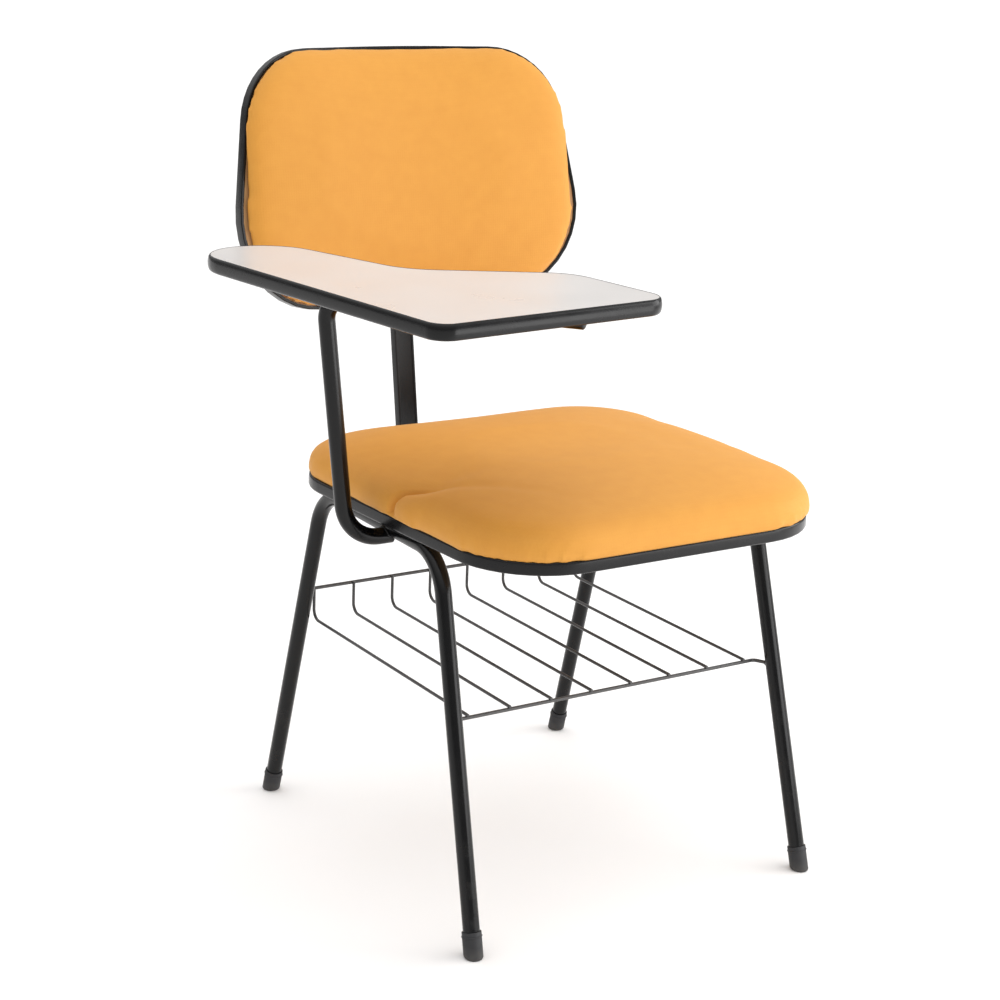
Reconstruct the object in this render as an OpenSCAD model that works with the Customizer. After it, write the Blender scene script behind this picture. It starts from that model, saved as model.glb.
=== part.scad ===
// Tablet arm chair: two bent tube side frames, an upholstered seat and back on boards with edge trim,
// a fixed writing tablet on a bent tube arm at the sitter's right hand, and a wire book basket.
// Sizes are in millimetres. The chair faces -Y, +Z is up and the tablet is on the -X side.

/* [Frame tubes] */

// outside diameter of the leg and arm tubes
tube_d = 18; // [16:0.5:20]
// wall of the leg and arm tubes
tube_wall = 1.5; // [1:0.1:2]
// height of the side rails' centre line
rail_z = 406; // [380:1:430]
// half the distance between the side rails' centre lines
rail_x = 205; // [190:1:215]
// backward place of the front leg's top corner
front_corner_y = -114; // [-130:1:-95]
// backward place of the rear leg's top corner
rear_corner_y = 149; // [130:1:170]
// slope of the front legs away from upright, in degrees
front_rake = 15.5; // [8:0.5:20]
// slope of the rear legs away from upright, in degrees
rear_rake = 15; // [8:0.5:20]
// outward lean of each side frame, in degrees
side_lean = 1.5; // [0:0.5:4]
// turn of each side frame in plan, which brings the rear feet closer together, in degrees
toe_in = 1.2; // [0:0.1:2]
// centre line radius of the bends at the top of the legs
leg_bend_r = 55; // [40:1:60]
// distance of the cross rails inside the legs' top corners
cross_set = 64; // [58:1:75]

/* [Feet] */

// wall of the foot caps around the tube
cap_wall = 1.5; // [1:0.1:3]
// height of the foot caps along the leg
cap_height = 28; // [20:1:40]
// thickness of the foot caps under the tube
cap_floor = 6; // [3:0.5:10]

/* [Seat] */

// width of the seat over its edge trim
seat_w = 456; // [420:1:480]
// depth of the seat over its edge trim
seat_d = 452; // [420:1:480]
// backward place of the seat's middle
seat_mid_y = -28; // [-40:0.5:-20]
// radius of the seat's front corners
seat_front_r = 98; // [60:1:120]
// radius of the seat's rear corners
seat_rear_r = 80; // [60:1:120]
// thickness of the seat and back boards
board_t = 12; // [10:0.5:15]
// height of the black edge trim
trim_h = 15; // [13:0.5:20]
// thickness of the edge trim outside the board
trim_t = 4; // [2.5:0.5:6]
// rise of the seat cushion above its board
seat_pad_h = 54; // [35:1:60]
// depth of the sewn crease at each side of the seat cushion
crease_depth = 7; // [2:0.5:10]

/* [Back] */

// width of the backrest over its edge trim at the widest place
back_w = 467; // [430:1:490]
// height of the backrest over its edge trim, along its slope
back_h = 307; // [270:1:330]
// height of the backrest's middle above the floor
back_mid_z = 728; // [715:1:750]
// backward place of the backrest's middle
back_mid_y = 345; // [335:1:360]
// backward slope of the backrest, in degrees
back_recline = 9; // [6:0.5:13]
// radius of the backrest's sideways curve
back_curve_r = 900; // [600:10:1200]
// radius of the backrest's top corners
back_top_r = 94; // [60:1:110]
// radius of the backrest's bottom corners
back_bottom_r = 110; // [70:1:120]
// thickness of the back cushion in front of its board
back_pad_t = 30; // [20:1:40]

/* [Spine] */

// width of the flat bar that carries the backrest
spine_w = 20; // [18:1:30]
// thickness of the flat bar
spine_t = 5; // [4:0.5:6]
// radius of the flat bar's bend
spine_bend_r = 25; // [18:1:40]
// thickness of the spine's plastic cover at its sides
cover_wall = 3; // [2:0.5:5]

/* [Tablet] */

// height of the tablet's top
tablet_z = 690; // [670:1:710]
// width of the tablet's front panel
tablet_w = 290; // [270:1:320]
// length of the tablet from front to back
tablet_l = 445; // [430:1:480]
// thickness of the tablet
tablet_t = 16; // [14:0.5:20]
// turn of the tablet in plan, in degrees
tablet_turn = 6; // [0:0.5:10]
// how far the tablet's front outer corner stands outside the arm's upright
tablet_out = 53; // [40:1:65]
// how far the tablet's front outer corner stands ahead of the arm's upright
tablet_ahead = 288; // [270:1:300]
// thickness of the tablet's edge band
band_t = 3; // [2:0.5:4]
// thickness of the laminate sheet
laminate_t = 1; // [0.8:0.1:1.5]

/* [Tablet arm] */

// sideways place of the arm's upright, halfway up
arm_x = -275; // [-285:1:-268]
// backward place of the arm's upright
arm_y = -8; // [-20:1:5]
// outward lean of the arm's upright, in degrees
arm_lean = 6.5; // [3:0.5:8]
// turn of the arm's top run in plan, in degrees
arm_top_turn = 51; // [45:1:58]
// length of the arm's top run from its corner
arm_top_run = 275; // [250:1:285]
// centre line radius of the arm's bends
arm_bend_r = 45; // [36:1:48]
// drop of the arm's low run under the side rail's centre line
arm_drop = 8; // [2:1:10]

/* [Book basket] */

// diameter of the basket's long wires
wire_d = 3.6; // [3.2:0.1:5]
// diameter of the basket's cross bars
bar_d = 4.2; // [3.8:0.1:6]
// number of long wires
wire_count = 8; // [6:1:10]
// distance of the outer wires inside the side rails' centre lines
wire_inset = 20; // [20:1:35]
// height of the basket's floor
basket_z = 234; // [220:1:260]
// rise of the wires at the back of the basket
basket_rise = 36; // [25:1:60]
// distance of the front bar behind the front legs
front_bar_set = 21; // [14:1:26]
// distance of the rear bar behind the rear legs
rear_bar_set = 18.5; // [14:0.5:24]

/* [Hidden] */

$fn = 64;

tube_r = tube_d / 2;
rail_top = rail_z + tube_r;
weld_bite = 0.6;
hairline = 0.01;

// side frame bends and legs
front_turn = 90 - front_rake;
rear_turn = 90 - rear_rake;
front_tangent = leg_bend_r * tan(front_turn / 2);
rear_tangent = leg_bend_r * tan(rear_turn / 2);
rail_run = rear_corner_y - front_corner_y - front_tangent - rear_tangent;
leg_drop = rail_z / cos(side_lean);
front_leg = leg_drop / cos(front_rake);
rear_leg = leg_drop / cos(rear_rake);
cap_r = tube_r + cap_wall;
cap_overrun = 8;

// cross rails, tabs and spine levels, from the top down
tab_t = 3;
tab_w = 40;
tab_d = 50;
bolt_set = 24.5;
cross_w = 25;
cross_top = rail_top - tab_t;
cross_h = 10;
cross_wall = 1.5;
cross_bottom = cross_top - cross_h;
tab_inset = 55;
front_cross_y = front_corner_y + cross_set;
rear_cross_y = rear_corner_y - cross_set;
tab_x = rail_x - tab_inset;
spine_z = cross_bottom - spine_t / 2;
arm_low_z = rail_z - arm_drop;

// fasteners
bolt_r = 3;
bolt_head_r = 6;
bolt_head_h = 3.5;
hole_gap = 0.3;
nut_r = 4;
nut_flange_r = 9;
nut_flange_t = 1.4;
screw_r = 2;
screw_head_r = 4.5;
screw_head_h = 2.5;

// seat and back
board_top = rail_top + board_t;
seat_trim_z = rail_top - (trim_h - board_t) / 2;
seat_taper = 10;
pad_gap = 0.4;
back_taper = 15;
back_arch_r = 3000;
bracket_t = 5;
bracket_w = 84;
bracket_h = 140;
back_bolt_x = 28;
back_bolt_z = 45;
spine_off = board_t / 2 + bracket_t + spine_t / 2;
spine_top = 62;
spine_mid_y = back_mid_y + spine_off * cos(back_recline);
spine_mid_z = back_mid_z - spine_off * sin(back_recline);
spine_corner_y = spine_mid_y - (spine_mid_z - spine_z) * tan(back_recline);
spine_turn = 90 - back_recline;
spine_tangent = spine_bend_r * tan(spine_turn / 2);
spine_start_y = front_cross_y - cross_w / 2;
spine_upright = (spine_mid_z - spine_z) / cos(back_recline) + spine_top;
cover_t = spine_t + 6;
cover_lip = 2;

// tablet outline, as circles with their centre and radius; a negative radius is a hollow corner
tablet_x = arm_x - tablet_out;
tablet_y = arm_y - tablet_ahead;
tail_r = 62;
tail_x = 63;
front_outer_r = 22;
front_inner_r = 30;
panel_r = 55;
panel_y = 125;
waist_r = 70;
waist_y = 292;
tail_w = 142;
tablet_rings = [
    [front_outer_r, front_outer_r, front_outer_r],
    [tablet_w - front_inner_r, front_inner_r, front_inner_r],
    [tablet_w - panel_r, panel_y, panel_r],
    [tail_w + waist_r, waist_y, -waist_r],
    [tail_x, tablet_l - tail_r, tail_r]
];
tablet_under = tablet_z - tablet_t;

// arm corners
arm_top_z = tablet_under - tube_r;
arm_mid_z = (arm_top_z + arm_low_z) / 2;
arm_low_x = arm_x + (arm_mid_z - arm_low_z) * tan(arm_lean);
arm_high_x = arm_x - (arm_top_z - arm_mid_z) * tan(arm_lean);
arm_low_turn = 90 - arm_lean;
arm_low_tangent = arm_bend_r * tan(arm_low_turn / 2);
arm_high_turn = acos(-sin(arm_lean) * cos(arm_top_turn));
arm_high_tangent = arm_bend_r * tan(arm_high_turn / 2);
arm_upright = (arm_top_z - arm_low_z) / cos(arm_lean) - arm_low_tangent - arm_high_tangent;
arm_low_run = -rail_x - arm_low_x - arm_low_tangent;
arm_roll = atan2(sin(arm_top_turn), cos(arm_top_turn) * cos(arm_lean));
plug_t = 3;
strap_wall = 2;
strap_ear = 15;
strap_len = 20;
strap_places = [75, 215];

// basket
bar_bend_r = 8;
bar_turn = 60;
wire_bend_r = 12;
wire_span = rail_x - wire_inset;
bar_step = (wire_d + bar_d) / 2 - weld_bite;
bar_z = basket_z - bar_step;
rear_bar_z = basket_z + basket_rise;
front_bar_y = leg_point(true, bar_z)[1] + front_bar_set;
rear_bar_y = leg_point(false, rear_bar_z)[1] + rear_bar_set;
riser_y = rear_bar_y - bar_step;

// the outer box, which puts the origin under its middle
tail_centre = turned([tail_x, tablet_l - tail_r], tablet_turn);
corner_centre = turned([front_outer_r, front_outer_r], tablet_turn);
box_left = tablet_x + tail_centre[0] - tail_r;
box_right = max(seat_w / 2, back_w / 2);
box_front = tablet_y + corner_centre[1] - front_outer_r;
box_back = back_mid_y + trim_h / 2 * cos(back_recline) + back_h / 2 * sin(back_recline);
centre_x = -(box_left + box_right) / 2;
centre_y = -(box_front + box_back) / 2;

black = [0.05, 0.05, 0.055];
soft_black = [0.13, 0.13, 0.14];
steel = [0.62, 0.62, 0.64];
ply = [0.72, 0.56, 0.38];
cloth = [0.86, 0.55, 0.2];
cream = [0.93, 0.88, 0.8];

// Helpers

function turned(p, a) = [p[0] * cos(a) - p[1] * sin(a), p[0] * sin(a) + p[1] * cos(a)];

// direction of the outward normal on the line that touches two circles, walked anticlockwise
function touch(a, b) = atan2(b[1] - a[1], b[0] - a[0]) - acos((a[2] - b[2]) / norm([b[0] - a[0], b[1] - a[1]]));

function unwound(a, from) = a - 360 * floor((a - from + 180) / 360);

// outline through a ring of circles joined by their touching lines, grown outward by a distance
function outline(rings, grow = 0, steps = 10) = [
    for (i = [0:len(rings) - 1])
        let (
            c = [for (k = [0:2]) rings[i][k] + (k == 2 ? grow : 0)],
            before = [for (k = [0:2]) rings[(i + len(rings) - 1) % len(rings)][k] + (k == 2 ? grow : 0)],
            after = [for (k = [0:2]) rings[(i + 1) % len(rings)][k] + (k == 2 ? grow : 0)],
            a0 = touch(before, c),
            a1 = unwound(touch(c, after), a0)
        )
        for (s = [0:steps])
            let (a = a0 + (a1 - a0) * s / steps)
            [c[0] + c[2] * cos(a), c[1] + c[2] * sin(a)]
];

module centred() {
    translate([centre_x, centre_y, 0])
        children();
}

// the section of a tube, or of a rod where the bore is 0
module section(r, bore) {
    difference() {
        circle(r = r);
        if (bore > 0)
            circle(r = bore);
    }
}

// a round tube or rod that starts at the origin along +Z; each bend turns towards +X after a roll about Z;
// a hairline parts the straight lengths from the bends, so that each length stays a true solid
module bent_tube(runs, turns, rolls, bend_r, r, bore = 0, i = 0) {
    start = i > 0 ? hairline : 0;
    finish = i < len(turns) ? hairline : 0;
    translate([0, 0, start])
        linear_extrude(height = runs[i] - start - finish)
            section(r, bore);
    if (i < len(turns))
        translate([0, 0, runs[i]])
            rotate([0, 0, rolls[i]]) {
                translate([bend_r, 0, 0])
                    rotate([90, 0, 0])
                        rotate([0, 0, 180 - turns[i]])
                            rotate_extrude(angle = turns[i])
                                translate([bend_r, 0])
                                    section(r, bore);
                translate([bend_r * (1 - cos(turns[i])), 0, bend_r * sin(turns[i])])
                    rotate([0, turns[i], 0])
                        bent_tube(runs, turns, rolls, bend_r, r, bore, i + 1);
            }
}

// places things on a side frame's own plane at the sitter's right, leaned outward about the rail
module on_right_frame() {
    translate([-rail_x, 0, rail_z])
        rotate([0, 0, -toe_in])
            rotate([0, side_lean, 0])
                children();
}

// where the axis of a leg at the sitter's right passes a height
function leg_point(front, z) =
    let (
        along = (rail_z - z) / cos(side_lean),
        y = front ? front_corner_y - along * tan(front_rake) : rear_corner_y + along * tan(rear_rake),
        x = (z - rail_z) * tan(side_lean)
    )
    [x * cos(toe_in) + y * sin(toe_in) - rail_x, y * cos(toe_in) - x * sin(toe_in)];

module mirrored() {
    mirror([1, 0, 0])
        children();
}

// from the front foot up the leg, back along the rail and down to the rear foot
module side_frame() {
    front_run = front_leg - front_tangent - cap_floor;
    rear_run = rear_leg - rear_tangent - cap_floor;
    on_right_frame()
        translate([0, front_corner_y, 0])
            rotate([-front_rake, 0, 0])
                translate([0, 0, cap_floor - front_leg])
                    rotate([0, 0, 90])
                        bent_tube([front_run, rail_run, rear_run], [front_turn, rear_turn], [0, 0],
                            leg_bend_r, tube_r, tube_r - tube_wall);
}

// a leg's axis from the floor upward, at the sitter's right
module on_leg(front) {
    on_right_frame()
        translate([0, front ? front_corner_y : rear_corner_y, 0])
            rotate([front ? -front_rake : rear_rake, 0, 0])
                translate([0, 0, front ? -front_leg : -rear_leg])
                    children();
}

module below_floor() {
    translate([-2 * rail_x, -2 * rail_x, -4 * cap_overrun])
        cube([4 * rail_x, 4 * rail_x, 4 * cap_overrun]);
}

module foot_cap(front) {
    difference() {
        on_leg(front)
            difference() {
                translate([0, 0, -cap_overrun])
                    cylinder(h = cap_height + cap_overrun, r = cap_r);
                translate([0, 0, cap_floor])
                    cylinder(h = cap_height, r = tube_r);
            }
        below_floor();
    }
}

// Frame

module side_frame_right() {
    color(black)
        centred()
            side_frame();
}

module side_frame_left() {
    color(black)
        centred()
            mirrored()
                side_frame();
}

module foot_cap_front_right() {
    color(soft_black)
        centred()
            foot_cap(true);
}

module foot_cap_front_left() {
    color(soft_black)
        centred()
            mirrored()
                foot_cap(true);
}

module foot_cap_rear_right() {
    color(soft_black)
        centred()
            foot_cap(false);
}

module foot_cap_rear_left() {
    color(soft_black)
        centred()
            mirrored()
                foot_cap(false);
}

module right_rail_solid() {
    on_right_frame()
        translate([0, front_corner_y, 0])
            rotate([-90, 0, 0])
                cylinder(h = rear_corner_y - front_corner_y, r = tube_r);
}

module rail_solids() {
    right_rail_solid();
    mirrored()
        right_rail_solid();
}

module cross_rail(y) {
    difference() {
        translate([-rail_x, y - cross_w / 2, cross_bottom])
            cube([2 * rail_x, cross_w, cross_h]);
        translate([-2 * rail_x, y - cross_w / 2 + cross_wall, cross_bottom + cross_wall])
            cube([4 * rail_x, cross_w - 2 * cross_wall, cross_h - 2 * cross_wall]);
        rail_solids();
    }
}

module front_cross_rail() {
    color(black)
        centred()
            cross_rail(front_cross_y);
}

module rear_cross_rail() {
    color(black)
        centred()
            cross_rail(rear_cross_y);
}

// the bolt holes of the seat, one beside each end of each cross rail
module at_seat_bolts() {
    for (side = [-1, 1])
        for (y = [front_cross_y, rear_cross_y])
            translate([side * tab_x, y + bolt_set, 0])
                children();
}

module seat_mount_tabs() {
    color(black)
        centred()
            difference() {
                for (side = [-1, 1])
                    for (y = [front_cross_y, rear_cross_y])
                        translate([side * tab_x - tab_w / 2, y - cross_w / 2, cross_top])
                            cube([tab_w, tab_d, tab_t]);
                at_seat_bolts()
                    translate([0, 0, cross_top - tab_t])
                        cylinder(h = 3 * tab_t, r = bolt_r + hole_gap);
            }
}

// Seat

seat_half = seat_w / 2;
seat_rings = [
    [seat_front_r - seat_half + seat_taper, seat_front_r - seat_d / 2, seat_front_r],
    [seat_half - seat_taper - seat_front_r, seat_front_r - seat_d / 2, seat_front_r],
    [seat_half - seat_rear_r, seat_d / 2 - seat_rear_r, seat_rear_r],
    [seat_rear_r - seat_half, seat_d / 2 - seat_rear_r, seat_rear_r]
];

module seat_plate(grow, z, h) {
    translate([0, seat_mid_y, z])
        linear_extrude(height = h)
            polygon(outline(seat_rings, grow));
}

module seat_board() {
    color(ply)
        centred()
            difference() {
                seat_plate(-trim_t, rail_top, board_t);
                at_seat_bolts()
                    translate([0, 0, rail_top - board_t])
                        cylinder(h = 3 * board_t, r = nut_r);
                at_seat_bolts()
                    translate([0, 0, board_top - nut_flange_t])
                        cylinder(h = board_t, r = nut_flange_r);
            }
}

module seat_edge_trim() {
    color(black)
        centred()
            difference() {
                seat_plate(0, seat_trim_z, trim_h);
                seat_plate(-trim_t, seat_trim_z - trim_h, 3 * trim_h);
            }
}

module bolt(length) {
    cylinder(h = length, r = bolt_r);
    translate([0, 0, -bolt_head_h])
        cylinder(h = bolt_head_h, r = bolt_head_r);
}

module tee_nut(length) {
    difference() {
        union() {
            cylinder(h = length, r = nut_r);
            translate([0, 0, length - nut_flange_t])
                cylinder(h = nut_flange_t, r = nut_flange_r);
        }
        translate([0, 0, -length])
            cylinder(h = 3 * length, r = bolt_r);
    }
}

module seat_bolts() {
    color(steel)
        centred()
            at_seat_bolts()
                translate([0, 0, cross_top])
                    bolt(tab_t + board_t - nut_flange_t);
}

module seat_tee_nuts() {
    color(steel)
        centred()
            at_seat_bolts()
                translate([0, 0, rail_top + 1])
                    tee_nut(board_t - 1);
}

// Cushions: a square grid drawn onto a rounded outline, raised by a crown and closed by a flat base

grid_n = 30;

function spaced(i) = let (t = 2 * i / grid_n - 1) sign(t) * (1 - pow(1 - abs(t), 1.5));
function ring_of(u, v) = max(abs(u), abs(v));
function crown(u, v, m, k) = pow(max(0, 1 - pow(ring_of(u, v), m)), 1 / k);

// how far the square ring of a grid point is drawn in to lie on a rounded rectangle's own ring
function drawn(u, v, a, b, r) =
    let (
        ring = max(ring_of(u, v), 0.001),
        p = [a * abs(u) / ring, b * abs(v) / ring],
        c = [a - r, b - r]
    )
    p[0] <= c[0] || p[1] <= c[1] ? 1 : (p * c + sqrt(pow(p * c, 2) - p * p * (c * c - r * r))) / (p * p);

// points of the top grid, then the rim, then the drawn-in base
function rim_index() = concat(
    [for (i = [0:grid_n - 1]) i],
    [for (j = [0:grid_n - 1]) j * (grid_n + 1) + grid_n],
    [for (i = [0:grid_n - 1]) grid_n * (grid_n + 1) + grid_n - i],
    [for (j = [0:grid_n - 1]) (grid_n - j) * (grid_n + 1)]
);

// the base is closed by strips from front to back, so it can follow a sideways curve
module pad(top, base) {
    n = grid_n + 1;
    rim = rim_index();
    count = len(rim);
    faces_top = [
        for (j = [0:grid_n - 1]) for (i = [0:grid_n - 1])
            let (a = j * n + i)
            for (half = [0, 1])
                half == 0 ? [a, a + n + 1, a + 1] : [a, a + n, a + n + 1]
    ];
    faces_side = [
        for (k = [0:count - 1]) for (half = [0, 1])
            let (a = rim[k], b = rim[(k + 1) % count], c = n * n + k, d = n * n + (k + 1) % count)
            half == 0 ? [a, b, d] : [a, d, c]
    ];
    faces_base = [
        for (i = [0:grid_n - 1]) for (half = [0, 1])
            let (a = n * n + i, c = n * n + 3 * grid_n - i)
            half == 0 ? [a, a + 1, c - 1] : [a, c - 1, c]
    ];
    faces_ends = [
        for (start = [grid_n, 3 * grid_n]) for (m = [1:grid_n - 1])
            [n * n + start, n * n + start + m, n * n + (start + m + 1) % count]
    ];
    polyhedron(points = concat(top, base), faces = concat(faces_top, faces_side, faces_base, faces_ends));
}

seat_pad_x = seat_w / 2 - trim_t - pad_gap;
seat_pad_y = seat_d / 2 - trim_t - pad_gap;
pad_lip = 7;
draw_in = 0.985;
crease_y = -15;
crease_sweep = 20;
crease_w = 11;
crease_reach = 165;
front_swell = 3;
rear_dip = 2;

// the crease turns forward over the side of the crown and fades towards the middle
function crease(x, y) =
    let (inside = seat_pad_x - abs(x), mid = crease_y - crease_sweep * (1 - exp(-inside / 10)))
    crease_depth * exp(-pow((y - mid) / crease_w, 2)) * (1 - exp(-pow(x / crease_reach, 6)));
function seat_swell(x, y) = front_swell * exp(-pow((y + 125) / 75, 2))
    - rear_dip * exp(-pow(x / 130, 2) - pow((y - 45) / 95, 2));

function seat_top(u, v) =
    let (
        pull = drawn(u, v, seat_pad_x, seat_pad_y, v > 0 ? seat_rear_r : seat_front_r),
        y = seat_pad_y * v * pull,
        x = (seat_pad_x - seat_taper * (0.5 - y / seat_d)) * u * pull,
        c = crown(u, v, 5, 2.2)
    )
    [x, y, pad_lip + (seat_pad_h - pad_lip - 5) * c + (seat_swell(x, y) - crease(x, y)) * min(1, 2 * c)];

module seat_cushion() {
    rim = rim_index();
    top = [for (j = [0:grid_n]) for (i = [0:grid_n]) seat_top(spaced(i), spaced(j))];
    base = [for (k = rim) [top[k][0] * draw_in, top[k][1] * draw_in, 0]];
    color(cloth)
        centred()
            translate([0, seat_mid_y, board_top])
                pad(top, base);
}

// Back, built upright about its own middle and then sloped

module on_back() {
    translate([0, back_mid_y, back_mid_z])
        rotate([-back_recline, 0, 0])
            children();
}

back_low = back_w / 2 - back_bottom_r;
back_high = back_w / 2 - back_taper - back_top_r;
back_drop = 0.4 * pow(back_high, 2) / (back_arch_r - back_top_r);
back_rings = [
    [-back_low, back_bottom_r - back_h / 2, back_bottom_r],
    [back_low, back_bottom_r - back_h / 2, back_bottom_r],
    [back_high, back_h / 2 - back_top_r - back_drop, back_top_r],
    [0, back_h / 2 - back_arch_r, back_arch_r],
    [-back_high, back_h / 2 - back_top_r - back_drop, back_top_r]
];

module back_form(grow) {
    translate([0, back_curve_r / 2, 0])
        rotate([90, 0, 0])
            linear_extrude(height = back_curve_r)
                polygon(outline(back_rings, grow));
}

// a sheet on the backrest's curve between two depths from its middle surface, front negative
module back_sheet(from, to) {
    sweep = 2 * asin((back_w / 2 + 8) / back_curve_r);
    translate([0, -back_curve_r, 0])
        rotate([0, 0, 90 - sweep / 2])
            rotate_extrude(angle = sweep, $fn = 720)
                translate([back_curve_r + from, -back_h])
                    square([to - from, 2 * back_h]);
}

module at_back_bolts() {
    for (side = [-1, 1])
        for (up = [-1, 1])
            translate([side * back_bolt_x, 0, up * back_bolt_z])
                rotate([90, 0, 0])
                    children();
}

module back_board() {
    color(ply)
        centred()
            on_back()
                difference() {
                    intersection() {
                        back_sheet(-board_t / 2, board_t / 2);
                        back_form(-trim_t);
                    }
                    at_back_bolts()
                        translate([0, 0, -board_t])
                            cylinder(h = 2 * board_t, r = nut_r);
                    at_back_bolts()
                        translate([0, 0, board_t / 2 + 0.2 - nut_flange_t])
                            cylinder(h = board_t, r = nut_flange_r);
                }
}

module back_edge_trim() {
    color(black)
        centred()
            on_back()
                difference() {
                    intersection() {
                        back_sheet(-trim_h / 2, trim_h / 2);
                        back_form(0);
                    }
                    back_form(-trim_t);
                }
}

module back_bracket() {
    color(black)
        centred()
            on_back()
                difference() {
                    translate([-bracket_w / 2, 0, -bracket_h / 2])
                        cube([bracket_w, board_t / 2 + bracket_t, bracket_h]);
                    translate([0, -back_curve_r, -back_h])
                        cylinder(h = 2 * back_h, r = back_curve_r + board_t / 2, $fn = 720);
                    at_back_bolts()
                        translate([0, 0, -2 * board_t])
                            cylinder(h = 4 * board_t, r = bolt_r + hole_gap);
                }
}

module back_bolts() {
    color(steel)
        centred()
            on_back()
                at_back_bolts()
                    translate([0, 0, -board_t / 2 - bracket_t])
                        bolt(board_t + bracket_t - nut_flange_t);
}

module back_tee_nuts() {
    color(steel)
        centred()
            on_back()
                at_back_bolts()
                    translate([0, 0, 1 - board_t / 2])
                        tee_nut(board_t - 0.8);
}

back_pad_x = back_w / 2 - trim_t - pad_gap;
back_pad_z = back_h / 2 - trim_t - pad_gap;
back_pad_drop = back_drop * 0.9;

// the board's front surface at a sideways place
function board_front(x) = sqrt(pow(back_curve_r - board_t / 2, 2) - x * x) - back_curve_r;

// a point of the back cushion: sideways, height on the board and thickness in front of it
function on_board(x, z, t) = [x, board_front(x) - t, z];

function back_top(u, v) =
    let (
        pull = drawn(u, v, back_pad_x, back_pad_z, v > 0 ? back_top_r : back_bottom_r),
        z0 = back_pad_z * v * pull,
        rise = max(0, v),
        x = (back_pad_x - back_taper * (z0 / back_h + 0.5)) * u * pull,
        z = z0 - back_pad_drop * rise * pow(x / back_pad_x, 2),
        c = crown(u, v, 3.6, 2.1)
    )
    [x, z, pad_lip + (back_pad_t - pad_lip) * c];

module back_cushion() {
    rim = rim_index();
    flat = [for (j = [0:grid_n]) for (i = [0:grid_n]) back_top(spaced(i), spaced(j))];
    top = [for (q = flat) on_board(q[0], q[1], q[2])];
    base = [for (k = rim) on_board(flat[k][0] * draw_in, flat[k][1] * draw_in, 0)];
    color(cloth)
        centred()
            on_back()
                pad(top, base);
}

// Spine

// the line at a distance from the bar's centre line, as places back and up, from the front to the top
function spine_edge(off, steps = 12) = concat(
    [[spine_start_y, spine_z + off]],
    [
        for (i = [0:steps])
            let (a = spine_turn * i / steps - 90)
            [spine_corner_y - spine_tangent, spine_z + spine_bend_r] + (spine_bend_r - off) * [cos(a), sin(a)]
    ],
    [[spine_corner_y, spine_z] + spine_upright * [sin(back_recline), cos(back_recline)]
        + off * [-cos(back_recline), sin(back_recline)]]
);

function reversed(list) = [for (i = [len(list) - 1:-1:0]) list[i]];

module on_spine() {
    translate([0, spine_corner_y, spine_z])
        rotate([-back_recline, 0, 0])
            children();
}

module spine_bar() {
    color(black)
        centred()
            translate([-spine_w / 2, 0, 0])
                rotate([90, 0, 90])
                    linear_extrude(height = spine_w)
                        polygon(concat(spine_edge(-spine_t / 2), reversed(spine_edge(spine_t / 2))));
}

module spine_cover() {
    cover_w = spine_w + 2 * cover_wall;
    cover_top = spine_upright - spine_top - bracket_h / 2 - 2;
    color(soft_black)
        centred()
            on_spine()
                translate([0, 0, spine_tangent])
                    linear_extrude(height = cover_top - spine_tangent)
                        difference() {
                            square([cover_w, cover_t], center = true);
                            square([spine_w, spine_t], center = true);
                            translate([0, -cover_t / 2])
                                square([cover_w - 2 * cover_wall, cover_lip], center = true);
                        }
}

// Tablet arm

// from the weld on the side rail outward, up beside the seat, then forward and inward under the tablet
module tablet_arm() {
    color(black)
        centred()
            difference() {
                translate([-rail_x, arm_y, arm_low_z])
                    rotate([0, -90, 0])
                        bent_tube([arm_low_run, arm_upright, arm_top_run - arm_high_tangent],
                            [arm_low_turn, arm_high_turn], [0, -arm_roll],
                            arm_bend_r, tube_r, tube_r - tube_wall);
                right_rail_solid();
            }
}

// the arm's top run, from its corner forward and inward, with the tablet's underside above it
module on_arm_top() {
    translate([arm_high_x, arm_y, arm_top_z])
        rotate([0, 0, -arm_top_turn])
            rotate([0, 90, 0])
                children();
}

module arm_end_plug() {
    color(soft_black)
        centred()
            on_arm_top()
                translate([0, 0, arm_top_run]) {
                    cylinder(h = plug_t, r = tube_r);
                    translate([0, 0, -4 * plug_t])
                        cylinder(h = 4 * plug_t, r = tube_r - tube_wall);
                }
}

module at_straps() {
    for (s = strap_places)
        on_arm_top()
            translate([0, 0, s - strap_len / 2])
                children();
}

module strap_profile() {
    difference() {
        union() {
            circle(r = tube_r + strap_wall);
            translate([-tube_r, -tube_r - strap_wall])
                square([tube_r, 2 * (tube_r + strap_wall)]);
            translate([-tube_r, -tube_r - strap_wall - strap_ear])
                square([strap_wall, 2 * (tube_r + strap_wall + strap_ear)]);
        }
        circle(r = tube_r);
        translate([-2 * tube_r, -tube_r])
            square([2 * tube_r, 2 * tube_r]);
        translate([-3 * tube_r, -3 * tube_r])
            square([2 * tube_r, 6 * tube_r]);
    }
}

module at_strap_screws() {
    at_straps()
        for (side = [-1, 1])
            translate([-tube_r + strap_wall, side * (tube_r + strap_wall + strap_ear / 2), strap_len / 2])
                rotate([0, -90, 0])
                    children();
}

module tablet_straps() {
    color(black)
        centred()
            difference() {
                at_straps()
                    linear_extrude(height = strap_len)
                        strap_profile();
                at_strap_screws()
                    translate([0, 0, -tube_r])
                        cylinder(h = 2 * tube_r, r = screw_r + hole_gap);
            }
}

screw_len = strap_wall + tablet_t - 6;

module tablet_screws() {
    color(steel)
        centred()
            at_strap_screws() {
                cylinder(h = screw_len, r = screw_r);
                translate([0, 0, -screw_head_h])
                    cylinder(h = screw_head_h, r = screw_head_r);
            }
}

// Tablet

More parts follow.
